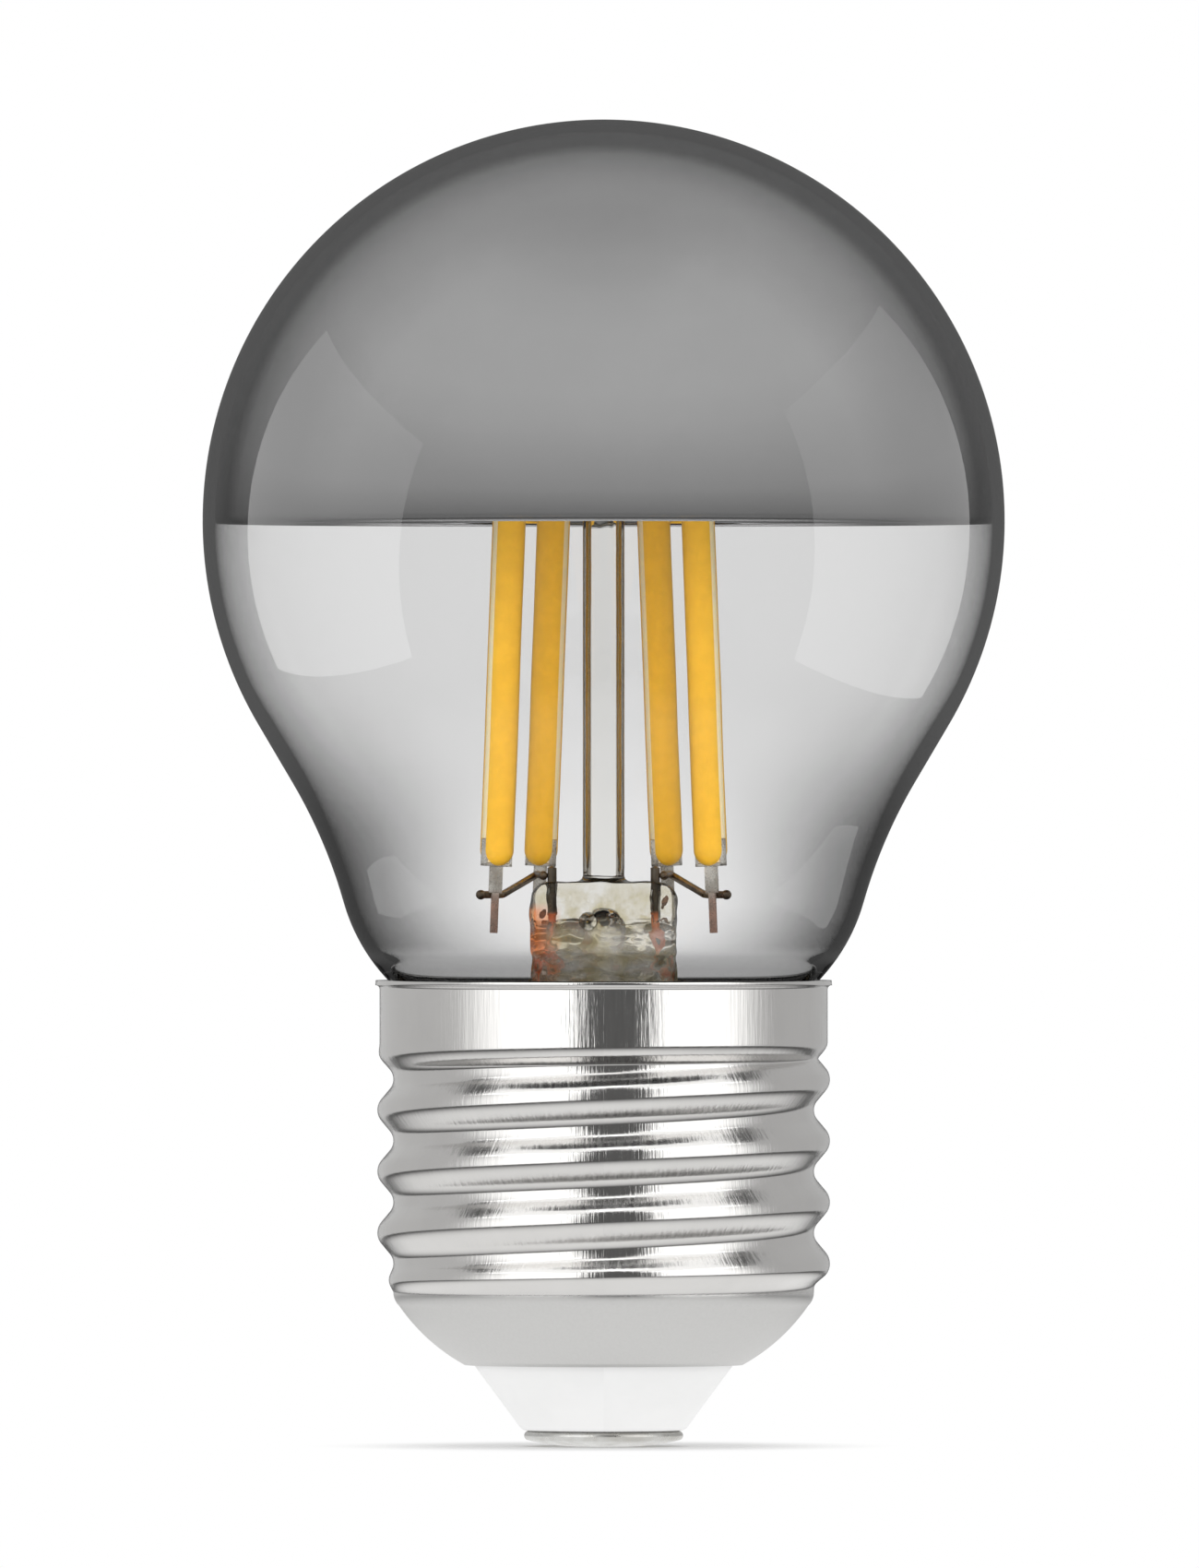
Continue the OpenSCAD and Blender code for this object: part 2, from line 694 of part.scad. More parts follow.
// Wire from the board's edge to the inside of the shell
module side_wire() {
    touch_z = thread_bottom - 0.4;
    bend_depth = 1.2;
    out = side_wire_p / norm(side_wire_p);
    touch_r = bowl_inner(touch_z) - side_wire_d;
    color("dimgray")
        wire(
            [
                [side_wire_p[0], side_wire_p[1], board_top + wire_end_l],
                [side_wire_p[0], side_wire_p[1], board_z - bend_depth],
                [out[0] * touch_r, out[1] * touch_r, touch_z]
            ],
            side_wire_d / 2,
            [-out[1], out[0], 0]
        );
}

// Rolled thread: a tube of sheet whose radius follows the thread's section
module threaded_tube() {
    tuck = 0.02;     // keeps the flat-sided rings inside the round sheet that they join
    ring_lap = 0.12; // by which they reach into it
    steps = ceil((thread_top - thread_bottom) / thread_pitch * thread_rows_per_pitch);
    heights = concat(
        [thread_bottom - ring_lap],
        [for (i = [0 : steps]) thread_bottom + (thread_top - thread_bottom) * i / steps],
        [thread_top + ring_lap]
    );
    rows = steps + 2;
    ring = thread_columns;
    side = (rows + 1) * ring;
    points = [
        for (inner = [false, true], row = [0 : rows], column = [0 : ring - 1])
            let (z = heights[row])
            let (angle = column * 360 / ring)
            let (sheet_r = threaded_r(z, angle))
            let (r = inner ? (sheet_r - shell_t + tuck) / cos(180 / ring) : sheet_r - tuck)
            [r * cos(angle), r * sin(angle), z]
    ];
    faces = [
        for (row = [0 : rows - 1], column = [0 : ring - 1], half = [0, 1])
            let (next = (column + 1) % ring)
            let (a = row * ring + column)
            let (b = row * ring + next)
            half == 0 ? [a, a + ring, b + ring] : [a, b + ring, b],
        for (row = [0 : rows - 1], column = [0 : ring - 1], half = [0, 1])
            let (next = (column + 1) % ring)
            let (a = side + row * ring + column)
            let (b = side + row * ring + next)
            half == 0 ? [a, b + ring, a + ring] : [a, b, b + ring],
        for (column = [0 : ring - 1], half = [0, 1])
            let (next = (column + 1) % ring)
            half == 0 ? [column, next, side + next] : [column, side + next, side + column],
        for (column = [0 : ring - 1], half = [0, 1])
            let (next = (column + 1) % ring)
            let (top = rows * ring)
            half == 0
                ? [top + column, top + side + next, top + next]
                : [top + column, top + side + column, top + side + next]
    ];
    polyhedron(points, faces);
}

// Skirt and turned-out lip, as one half section of the sheet
module skirt_section() {
    lip_steps = 8;
    polygon(concat(
        [[skirt_r, thread_top]],
        arc(lip_centre, lip_curve_r, 180, 180 - lip_turn, lip_steps),
        arc(lip_centre, lip_curve_r + shell_t, 180 - lip_turn, 180, lip_steps),
        [[skirt_r - shell_t, thread_top]]
    ));
}

// Bend and cone of the bowl, as one half section of the sheet
module bowl_section() {
    bend_steps = 6;
    along = [-sin(bowl_angle), -cos(bowl_angle)];
    across = [-cos(bowl_angle), sin(bowl_angle)];
    mouth = [bowl_mouth_r, mouth_z];
    polygon(concat(
        arc(bowl_c, bowl_bend_r, 0, -bowl_angle, bend_steps),
        [mouth, mouth + shell_t * across],
        arc(bowl_c, bowl_bend_r - shell_t, -bowl_angle, 0, bend_steps)
    ));
}

// Screw shell: lip, skirt, rolled thread and bowl pressed from one sheet
module cap_shell() {
    color("lightsteelblue")
        union() {
            rotate_extrude($fn = thread_columns) skirt_section();
            threaded_tube();
            rotate_extrude($fn = thread_columns) bowl_section();
        }
}

// Insulator: a cone under the bowl, with a plug that fills the bowl's bottom
module cap_insulator() {
    nose_r = 0.5;
    nose_rim = 0.35;
    nose_c = [contact_r - nose_r + nose_rim, contact_h + nose_r];
    cone_top = [waist_r, mouth_z];
    color("white")
        rotate_extrude()
            polygon(concat(
                [[shank_r + bond_gap, contact_h]],
                arc(nose_c, nose_r, -90, -cone_angle, 6),
                [
                    cone_top,
                    [waist_r, mouth_z + shell_t * sin(bowl_angle)],
                    [bowl_inner(insulator_top) - bond_gap, insulator_top],
                    [shank_r + bond_gap, insulator_top]
                ]
            ));
}

// Centre contact: a domed head with a flat land, and a hollow shank for the live wire
module centre_contact() {
    crown_l = 0.3;
    color("darkkhaki")
        rotate_extrude()
            polygon([
                [0, 0],
                [land_r, 0],
                [(land_r + contact_r) / 2, contact_h * 0.22],
                [contact_r - 0.35, contact_h * 0.52],
                [contact_r, contact_h - 0.15],
                [contact_r, contact_h - bond_gap],
                [shank_r, contact_h - bond_gap],
                [shank_r, insulator_top + bond_gap],
                [shank_r + crown_l, insulator_top + bond_gap],
                [shank_r, shank_top],
                [live_wire_d / 2 + bond_gap, shank_top],
                [live_wire_d / 2 + bond_gap, contact_h + contact_edge_t],
                [0, contact_h + contact_edge_t]
            ]);
}

module front_right_strip() {
    mirrored_x() front_left_strip();
}

module front_right_phosphor() {
    mirrored_x() front_left_phosphor();
}

module front_right_clips() {
    mirrored_x() front_left_clips();
}

module rear_right_strip() {
    mirrored_x() rear_left_strip();
}

module rear_right_phosphor() {
    mirrored_x() rear_left_phosphor();
}

module rear_right_clips() {
    mirrored_x() rear_left_clips();
}

glass_envelope();
crown_mirror();
glass_stem();
front_left_strip();
front_left_phosphor();
front_left_clips();
front_right_strip();
front_right_phosphor();
front_right_clips();
rear_left_strip();
rear_left_phosphor();
rear_left_clips();
rear_right_strip();
rear_right_phosphor();
rear_right_clips();
lead_wire_left();
lead_wire_right();
cross_wire_left();
cross_wire_right();
head_wire_front();
head_wire_rear();
basing_cement();
driver_board();
smoothing_capacitor();
fusible_resistor();
bridge_rectifier();
driver_chip();
chip_resistors();
solder_joints();
live_wire();
side_wire();
cap_shell();
cap_insulator();
centre_contact();
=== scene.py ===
"""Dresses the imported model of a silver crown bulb: glass, mirror, filaments, wires and screw cap."""

import math

import bmesh
import bpy
from bpy.props import FloatProperty, FloatVectorProperty, IntProperty, PointerProperty
from bpy.types import Operator, Panel, PropertyGroup
from mathutils import Matrix, Quaternion, Vector, noise


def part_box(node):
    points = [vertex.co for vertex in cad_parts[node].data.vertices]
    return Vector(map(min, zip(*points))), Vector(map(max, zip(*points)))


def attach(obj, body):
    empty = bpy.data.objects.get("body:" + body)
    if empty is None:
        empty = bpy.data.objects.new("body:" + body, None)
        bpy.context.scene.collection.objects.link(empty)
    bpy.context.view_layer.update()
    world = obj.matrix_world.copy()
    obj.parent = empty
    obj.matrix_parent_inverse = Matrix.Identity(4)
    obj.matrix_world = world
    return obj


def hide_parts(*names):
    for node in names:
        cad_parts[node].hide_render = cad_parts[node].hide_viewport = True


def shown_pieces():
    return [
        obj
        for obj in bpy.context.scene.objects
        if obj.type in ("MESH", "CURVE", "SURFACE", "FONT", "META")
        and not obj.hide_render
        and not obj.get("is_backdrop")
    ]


bl_info = {
    "name": "Silver crown bulb",
    "version": (1, 0, 0),
    "blender": (4, 5, 0),
    "location": "3D View > Sidebar > Bulb",
    "description": "Builds the visible pieces of a silver crown bulb over its packed model",
    "category": "Object",
}

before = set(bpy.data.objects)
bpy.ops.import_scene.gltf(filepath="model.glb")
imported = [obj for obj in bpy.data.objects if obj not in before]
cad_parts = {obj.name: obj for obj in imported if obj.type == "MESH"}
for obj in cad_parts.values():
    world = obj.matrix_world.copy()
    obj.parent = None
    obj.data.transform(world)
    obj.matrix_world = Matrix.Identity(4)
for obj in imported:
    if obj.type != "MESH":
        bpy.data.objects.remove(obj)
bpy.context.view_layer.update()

MM = 0.001
TURN = 2 * math.pi
BODY = "root"
SMALLEST = 1e-6
SIDES = ("left", "right")
ROWS = ("front", "rear")


def size(name, text, value):
    """Length in millimetres, kept in metres."""
    return FloatProperty(name=name, description=text, default=value * MM, unit="LENGTH", precision=5)


def angle(name, text, degrees):
    return FloatProperty(name=name, description=text, default=math.radians(degrees), subtype="ANGLE")


def colour(name, text, value):
    return FloatVectorProperty(
        name=name, description=text, default=value, size=3, min=0, max=1, subtype="COLOR"
    )


def share(name, text, value):
    return FloatProperty(name=name, description=text, default=value, min=0, max=1, subtype="FACTOR")


class GlassSizes(PropertyGroup):
    globe_d: size("Globe diameter", "Outside diameter of the round globe", 47.4)
    wall: size("Glass wall", "Wall of the blown glass", 0.7)
    taper: angle("Taper", "Slope of the cone under the globe, from the axis", 30.5)
    neck_curve_r: size("Neck curve", "Radius of the hollow curve in the neck", 30)
    turn: angle("Shoulder turn", "Angle at which the hollow curve turns over", 15.75)
    shoulder_r: size("Shoulder", "Radius of the shoulder above the cap", 11)
    neck_r: size("Neck radius", "Radius of the straight end of the neck", 11.5)
    fillet_r: size("Neck fillet", "Fillet between shoulder and neck end", 1.5)
    rim_slope: angle("Rim slope", "Direction in which the glass clears the lip", 43)
    rim_gap: size("Rim gap", "Gap between the glass and the lip", 0.06)
    mirror_edge: size("Mirror edge", "Mirror edge above the globe's widest line", -0.2)
    mirror_t: size("Mirror coat", "Thickness of the silver coat", 0.12)
    columns: IntProperty(name="Glass columns", description="Faces round the glass", default=256, min=64)


class StemSizes(PropertyGroup):
    press_rise: size("Press rise", "Top of the press above the lip's curve", 5.9)
    press_h: size("Press height", "Height of the press", 6.4)
    press_w: size("Press width", "Width of the press", 8.8)
    press_t: size("Press thickness", "Thickness of the press", 3.2)
    voxel: size("Melt voxel", "Size of the voxels that melt the stem together", 0.19)
    ripple: size("Ripple", "Depth of the ripples in the pressed glass", 0.16)
    ripple_l: size("Ripple length", "Length of one ripple", 1.5)


class FilamentSizes(PropertyGroup):
    bead_l: size("Bead length", "Length of a phosphor bead", 28)
    bead_w: size("Bead width", "Width of a bead and its strip", 1.9)
    bead_h: size("Bead height", "Height of one bead over its strip", 0.75)
    strip_t: size("Strip thickness", "Thickness of the carrier strip", 0.5)
    bead_rise: size("Bead rise", "Lower bead ends above the press", 0.9)
    foot_ring_r: size("Foot ring", "Distance of the feet from the axis", 7.3)
    head_ring_r: size("Head ring", "Distance of the heads from the axis", 6.1)
    front_angle: angle("Front angle", "Place of the front pair on the rings", 30)
    rear_angle: angle("Rear feet angle", "Place of the rear feet on their ring", 59)
    rear_head_angle: angle("Rear heads angle", "Place of the rear heads on their ring", 64)
    yaw: angle("Yaw", "Turn of the filaments' faces", 33)
    clip_t: size("Clip thickness", "Thickness of the end clips", 0.2)
    clip_arm_l: size("Clip arm", "Length of a clip's arms", 1.6)
    tail_w: size("Tail width", "Width of a clip's tail", 0.85)
    tail_l: size("Tail length", "Length of the tail's wide part", 1.6)
    stub_w: size("Stub width", "Width of the tail's trimmed end", 0.45)
    stub_l: size("Stub length", "Length of a lower tail's trimmed end", 2.4)
    head_stub_l: size("Upper stub length", "Length of an upper tail's trimmed end", 0.4)


class WireSizes(PropertyGroup):
    lead_x: size("Lead spacing", "Distance of the lead wires from the axis", 3.05)
    lead_d: size("Nickel diameter", "Diameter of the nickel part", 0.55)
    dumet_d: size("Copper diameter", "Diameter of the copper-clad part", 0.4)
    nickel_depth: size("Nickel depth", "Reach of the nickel part into the press", 1.9)
    lead_rise: size("Lead rise", "Upper lead ends above the press", 0.8)
    joining_d: size("Joining wire", "Diameter of the wires that join filaments", 0.44)
    weld_t: size("Weld", "Thickness of a weld's fillet", 0.06)
    ball_step: size("Head wire step", "Head wires above and below the ball's middle", 0.5)
    ball_rise: size("Ball rise", "Middle of the ball above the upper tails", 1.5)
    board_z: size("Board height", "Underside of the circuit board", 12.6)


class CapSizes(PropertyGroup):
    sheet_t: size("Sheet", "Thickness of the cap's sheet", 0.3)
    crest_r: size("Crest radius", "Radius over the thread's crests", 13.07)
    pitch: size("Pitch", "Pitch of the thread", 3.629)
    crest_fillet: size("Crest fillet", "Fillet of the crests", 0.7)
    root_fillet: size("Root fillet", "Fillet of the roots", 1.2)
    flank: angle("Flank", "Slope of the flanks, from the axis", 40)
    thread_low: size("Thread bottom", "Height at which the thread begins", 9.1)
    thread_high: size("Thread top", "Height at which the thread has run out", 23.9)
    fade: size("Thread fade", "Height over which the thread fades", 1.3)
    turn: angle("Thread turn", "Turn of the thread about the axis", 168)
    skirt_r: size("Skirt radius", "Radius of the plain skirt", 12.94)
    skirt_top: size("Skirt top", "Height at which the lip begins", 27)
    lip_r: size("Lip radius", "Radius of the lip's outer edge", 13.47)
    lip_curve_r: size("Lip curve", "Radius of the lip's curve", 0.54)
    bend_r: size("Bowl bend", "Bend between the thread and the bowl", 0.8)
    bowl: angle("Bowl slope", "Slope of the bowl, from the axis", 47.8)
    bulge: size("Bowl bulge", "Bulge of the bowl's side", 0.3)
    mouth_r: size("Bowl mouth", "Radius of the bowl's lower edge", 8.07)
    cone: angle("Insulator slope", "Slope of the insulator, from the axis", 36)
    plug_h: size("Plug height", "Insulator above the bowl's mouth", 1.8)
    contact_r: size("Contact radius", "Radius of the centre contact", 4.7)
    contact_h: size("Contact height", "Height of the contact's dome", 0.93)
    land_r: size("Contact land", "Radius of the contact's flat land", 2)
    shank_r: size("Shank radius", "Radius of the contact's shank", 1.3)
    columns: IntProperty(name="Cap columns", description="Faces round the cap", default=216, min=48)
    rows_per_pitch: IntProperty(name="Rows per pitch", description="Rows in a pitch", default=30, min=8)


class Finishes(PropertyGroup):
    silver: colour("Silver coat", "Colour of the crown mirror", (0.93, 0.93, 0.93))
    smoke_density: FloatProperty(
        name="Smoke", description="Darkening of the glass per metre", default=150, min=0
    )
    phosphor: colour("Phosphor", "Colour of the phosphor beads", (0.93, 0.51, 0.035))
    phosphor_pale: colour("Pale phosphor", "Colour of thin phosphor", (0.91, 0.6, 0.16))
    ceramic: colour("Strip", "Colour of the carrier strips", (0.95, 0.74, 0.42))
    nickel: colour("Nickel plate", "Colour of the cap's plate", (0.68, 0.67, 0.655))
    wire_nickel: colour("Wire", "Colour of the nickel wires", (0.42, 0.36, 0.28))
    wire_copper: colour("Copper", "Colour of the copper-clad wires", (0.8, 0.27, 0.12))
    matt_nickel: colour("Matt nickel", "Colour of the bowl's plate", (0.61, 0.607, 0.597))
    insulator: colour("Insulator", "Colour of the white insulator", (0.9, 0.9, 0.895))
    grain: share("Grain", "Strength of the metal's grain", 0.5)


class StageSettings(PropertyGroup):
    distance: size("Camera distance", "Distance of the camera from the axis", 2000)
    frame_h: size("Frame height", "Height of the picture at the axis", 92.65)
    middle_z: size("Frame middle", "Height of the picture's middle", 39.13)
    middle_x: size("Frame side", "Sideways place of the picture's middle", -0.245)
    lamp_distance: size("Lamp distance", "Distance of the softboxes", 350)
    panel_level: FloatProperty(name="Panel level", description="Softboxes seen in the glass", default=1.7)
    cap_level: FloatProperty(name="Cap level", description="Softboxes seen in the cap", default=1.6)
    side_level: FloatProperty(name="Side level", description="Softboxes at the cap's sides", default=0.5)
    fill_level: FloatProperty(name="Fill level", description="Softboxes on the filaments", default=8.6)
    top_level: FloatProperty(name="Top level", description="Overhead softbox", default=0.5)
    room: FloatProperty(name="Room level", description="Plain light from all round", default=0.92)
    surround: FloatProperty(name="Surround", description="Dark surround that glass and cap mirror", default=0.12)


def arc(centre, radius, start, end, steps):
    """Points (radius, height) along an arc, its angles in radians from the horizontal."""
    points = []
    for i in range(steps + 1):
        a = start + (end - start) * i / steps
        points.append((centre[0] + radius * math.cos(a), centre[1] + radius * math.sin(a)))
    return points


def line(start, end, steps):
    """Points from start up to but without end."""
    return [
        (start[0] + (end[0] - start[0]) * i / steps, start[1] + (end[1] - start[1]) * i / steps)
        for i in range(steps)
    ]


def revolve(outline, columns, closed=False):
    """A bmesh with the outline turned about the lamp's axis, its poles closed and its faces outwards."""
    bm = bmesh.new()
    chain = [bm.verts.new((x, 0, z)) for x, z in outline]
    edges = [bm.edges.new(pair) for pair in zip(chain, chain[1:])]
    if closed:
        edges.append(bm.edges.new((chain[-1], chain[0])))
    bmesh.ops.spin(
        bm,
        geom=chain + edges,
        cent=(0, 0, 0),
        axis=(0, 0, 1),
        angle=TURN,
        steps=columns,
        use_merge=True,
        use_duplicate=False,
    )
    tidy_faces(bm)
    return bm


def tidy_faces(bm):
    bmesh.ops.remove_doubles(bm, verts=bm.verts, dist=SMALLEST)
    bmesh.ops.dissolve_degenerate(bm, edges=bm.edges, dist=SMALLEST)
    bmesh.ops.recalc_face_normals(bm, faces=bm.faces)


def finish_piece(name, bm, node, material, sharp=None):
    """Makes an object of the bmesh, which rides on the body and replaces the CAD node."""
    mesh = bpy.data.meshes.new(name)
    bm.to_mesh(mesh)
    bm.free()
    mesh.shade_smooth()
    if sharp is not None:
        mesh.set_sharp_from_angle(angle=sharp)
    mesh.materials.append(material)
    piece = bpy.data.objects.new(name, mesh)
    bpy.context.scene.collection.objects.link(piece)
    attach(piece, BODY)
    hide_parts(node)
    return piece


def add_wall(piece, thickness):
    wall = piece.modifiers.new("wall", "SOLIDIFY")
    wall.thickness = thickness
    wall.offset = -1
    wall.use_even_offset = True


def globe_line(sizes, cap):
    """Outline of the glass from the crown to its sealed end, and the height of the globe's middle."""
    reach = sizes.shoulder_r + sizes.rim_gap + cap.lip_curve_r + cap.sheet_t
    shoulder = (
        cap.skirt_r + cap.lip_curve_r - reach * math.cos(sizes.rim_slope),
        cap.skirt_top + reach * math.sin(sizes.rim_slope),
    )
    turn_reach = sizes.shoulder_r + sizes.neck_curve_r
    neck = (
        shoulder[0] + turn_reach * math.cos(sizes.turn),
        shoulder[1] - turn_reach * math.sin(sizes.turn),
    )
    low = (
        neck[0] - sizes.neck_curve_r * math.cos(sizes.taper),
        neck[1] + sizes.neck_curve_r * math.sin(sizes.taper),
    )
    globe_r = sizes.globe_d / 2
    taper_l = (globe_r * math.cos(sizes.taper) - low[0]) / math.sin(sizes.taper)
    globe_z = low[1] + taper_l * math.cos(sizes.taper) + globe_r * math.sin(sizes.taper)
    fillet_x = sizes.neck_r + sizes.fillet_r
    fillet_reach = sizes.shoulder_r + sizes.fillet_r
    drop = math.sqrt(fillet_reach**2 - (fillet_x - shoulder[0]) ** 2)
    fillet = (fillet_x, shoulder[1] - drop)
    fillet_turn = math.asin(drop / fillet_reach)
    half = math.pi / 2
    globe = arc((0, globe_z), globe_r, half, -sizes.taper, 88)
    hollow = arc(neck, sizes.neck_curve_r, math.pi - sizes.taper, math.pi - sizes.turn, 10)
    taper = line(globe[-1], hollow[0], 6)
    points = [
        *globe[:-1],
        *taper,
        *hollow[:-1],
        *arc(shoulder, sizes.shoulder_r, -sizes.turn, -fillet_turn, 14)[:-1],
        *arc(fillet, sizes.fillet_r, math.pi - fillet_turn, math.pi, 6),
        (sizes.neck_r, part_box("glass_envelope")[0].z),
    ]
    points[0] = (0, globe_z + globe_r)
    return points, globe_z


def place_filament(sizes, row, press_top):
    """Matrix from a filament's own space to its place on the left, and its foot and head."""
    foot_z = press_top + sizes.bead_rise
    if row == "front":
        foot_angle, head_angle, yaw = sizes.front_angle, sizes.front_angle, sizes.yaw
    else:
        foot_angle, head_angle, yaw = -sizes.rear_angle, -sizes.rear_head_angle, -sizes.yaw
    foot = Vector(
        (
            -sizes.foot_ring_r * math.cos(foot_angle),
            -sizes.foot_ring_r * math.sin(foot_angle),
            foot_z,
        )
    )
    head = Vector(
        (
            -sizes.head_ring_r * math.cos(head_angle),
            -sizes.head_ring_r * math.sin(head_angle),
            foot_z + sizes.bead_l,
        )
    )
    span = head - foot
    bearing = math.atan2(span.y, span.x)
    tilt = math.acos(span.z / span.length)
    matrix = (
        Matrix.Translation(foot)
        @ Matrix.Rotation(bearing, 4, "Z")
        @ Matrix.Rotation(tilt, 4, "Y")
        @ Matrix.Rotation(yaw - bearing, 4, "Z")
    )
    return matrix, foot, head, yaw


def set_place(bm, matrix, side):
    """Moves a piece to its filament, mirrored where that stands on the right."""
    bmesh.ops.transform(bm, matrix=matrix, verts=bm.verts)
    if side == "right":
        bmesh.ops.scale(bm, vec=(-1, 1, 1), verts=bm.verts)
        bmesh.ops.reverse_faces(bm, faces=bm.faces)


def plate(bm, low, high, edge):
    """Flat bar between two corners with softened edges."""
    low, high = Vector(low), Vector(high)
    made = bmesh.ops.create_cube(bm, size=1)["verts"]
    bmesh.ops.scale(bm, vec=high - low, verts=made)
    bmesh.ops.translate(bm, vec=(low + high) / 2, verts=made)
    edges = {e for v in made for e in v.link_edges}
    bmesh.ops.bevel(
        bm,
        geom=list(edges),
        offset=edge,
        segments=2,
        profile=0.5,
        affect="EDGES",
        material=-1,
        clamp_overlap=True,
    )


def dome(bm, centre, scale):
    """Flattened blob of melted metal."""
    made = bmesh.ops.create_uvsphere(bm, u_segments=20, v_segments=12, radius=1)["verts"]
    bmesh.ops.scale(bm, vec=scale, verts=made)
    bmesh.ops.translate(bm, vec=centre, verts=made)


def rounded_path(points, bend, steps=6):
    """The points with each corner replaced by a smooth curve that starts a bend's length before it."""
    points = [Vector(p) for p in points]
    path = [points[0]]
    for before, corner, after in zip(points, points[1:], points[2:]):
        reach = min(bend, (corner - before).length / 2, (after - corner).length / 2)
        start = corner + (before - corner).normalized() * reach
        end = corner + (after - corner).normalized() * reach
        for i in range(steps + 1):
            t = i / steps
            path.append(start.lerp(corner, t).lerp(corner.lerp(end, t), t))
    path.append(points[-1])
    return path


def sweep(bm, path, radius, sides=20, waist=None):
    """Carries a circle along a path and rounds both ends. waist gives the radius at each point."""
    headings = []
    for i in range(len(path)):
        heading = Vector((0, 0, 0))
        if i > 0:
            heading += (path[i] - path[i - 1]).normalized()
        if i < len(path) - 1:
            heading += (path[i + 1] - path[i]).normalized()
        headings.append(heading.normalized())
    radii = waist or [radius] * len(path)
    stations = []
    for t in (0.2, 0.6, 0.9):
        stations.append((path[0] - headings[0] * radii[0] * (1 - t) * 0.5, headings[0], radii[0] * t))
    for point, heading, r in zip(path, headings, radii):
        stations.append((point, heading, r))
    for t in (0.9, 0.6, 0.2):
        stations.append((path[-1] + headings[-1] * radii[-1] * (1 - t) * 0.5, headings[-1], radii[-1] * t))
    turn = Vector((0, 0, 1)).rotation_difference(stations[0][1])
    ring = bmesh.ops.create_circle(bm, cap_ends=True, segments=sides, radius=stations[0][2])["verts"]
    bmesh.ops.rotate(bm, matrix=turn.to_matrix(), verts=ring)
    bmesh.ops.translate(bm, vec=stations[0][0], verts=ring)
    for before, after in zip(stations, stations[1:]):
        edges = {e for v in ring for e in v.link_edges if all(o in ring for o in e.verts)}
        made = bmesh.ops.extrude_edge_only(bm, edges=list(edges))["geom"]
        ring = [v for v in made if isinstance(v, bmesh.types.BMVert)]
        turn = before[1].rotation_difference(after[1]).to_matrix().to_4x4()
        bmesh.ops.transform(
            bm,
            matrix=Matrix.Translation(after[0])
            @ turn
            @ Matrix.Scale(after[2] / before[2], 4)
            @ Matrix.Translation(-before[0]),
            verts=ring,
        )
    bmesh.ops.contextual_create(bm, geom=[e for e in {e for v in ring for e in v.link_edges} if e.is_boundary])


def add_node(tree, kind, values=(), **settings):
    """A node with its settings, and values for its inputs by name or number."""
    node = tree.nodes.new(kind)
    for key, value in settings.items():
        setattr(node, key, value)
    for key, value in dict(values).items():
        node.inputs[key].default_value = value
    return node


def rgba(value):
    return (*value, 1)


def sums(tree, operation, first, second):
    """Math node. Its inputs are numbers or sockets."""
    node = add_node(tree, "ShaderNodeMath", operation=operation)
    for socket, value in zip(node.inputs, (first, second)):
        if isinstance(value, (int, float)):
            socket.default_value = value
        else:
            tree.links.new(value, socket)
    return node.outputs[0]


def blend_colours(tree, factor, first, second):
    """Mixed colour. Its inputs are colours or sockets."""
    node = add_node(tree, "ShaderNodeMix", data_type="RGBA")
    for number, value in ((0, factor), (6, first), (7, second)):
        if isinstance(value, bpy.types.NodeSocket):
            tree.links.new(value, node.inputs[number])
        elif number == 0:
            node.inputs[number].default_value = value
        else:
            node.inputs[number].default_value = rgba(value)
    return node.outputs[2]


def remap(tree, value, low, high, to_low=0.0, to_high=1.0, smooth=True):
    """Map Range node from low and high to two new values."""
    node = add_node(
        tree,
        "ShaderNodeMapRange",
        {1: low, 2: high, 3: to_low, 4: to_high},
        interpolation_type="SMOOTHSTEP" if smooth else "LINEAR",
    )
    tree.links.new(value, node.inputs[0])
    return node.outputs[0]


def new_group(name, inputs, outputs):
    """Shader node group with named sockets. Returns its tree, input node and output node."""
    tree = bpy.data.node_groups.new(name, "ShaderNodeTree")
    for socket, kind, value in inputs:
        made = tree.interface.new_socket(socket, in_out="INPUT", socket_type=kind)
        if value is not None:
            made.default_value = value
    for socket, kind in outputs:
        tree.interface.new_socket(socket, in_out="OUTPUT", socket_type=kind)
    return tree, tree.nodes.new("NodeGroupInput"), tree.nodes.new("NodeGroupOutput")


VALUE, VECTOR, COLOUR = "NodeSocketFloat", "NodeSocketVector", "NodeSocketColor"


def shared_group(name):
    """The node group of that name, built at its first use."""
    found = bpy.data.node_groups.get(name)
    if found:
        return found
    return GROUPS[name](name)


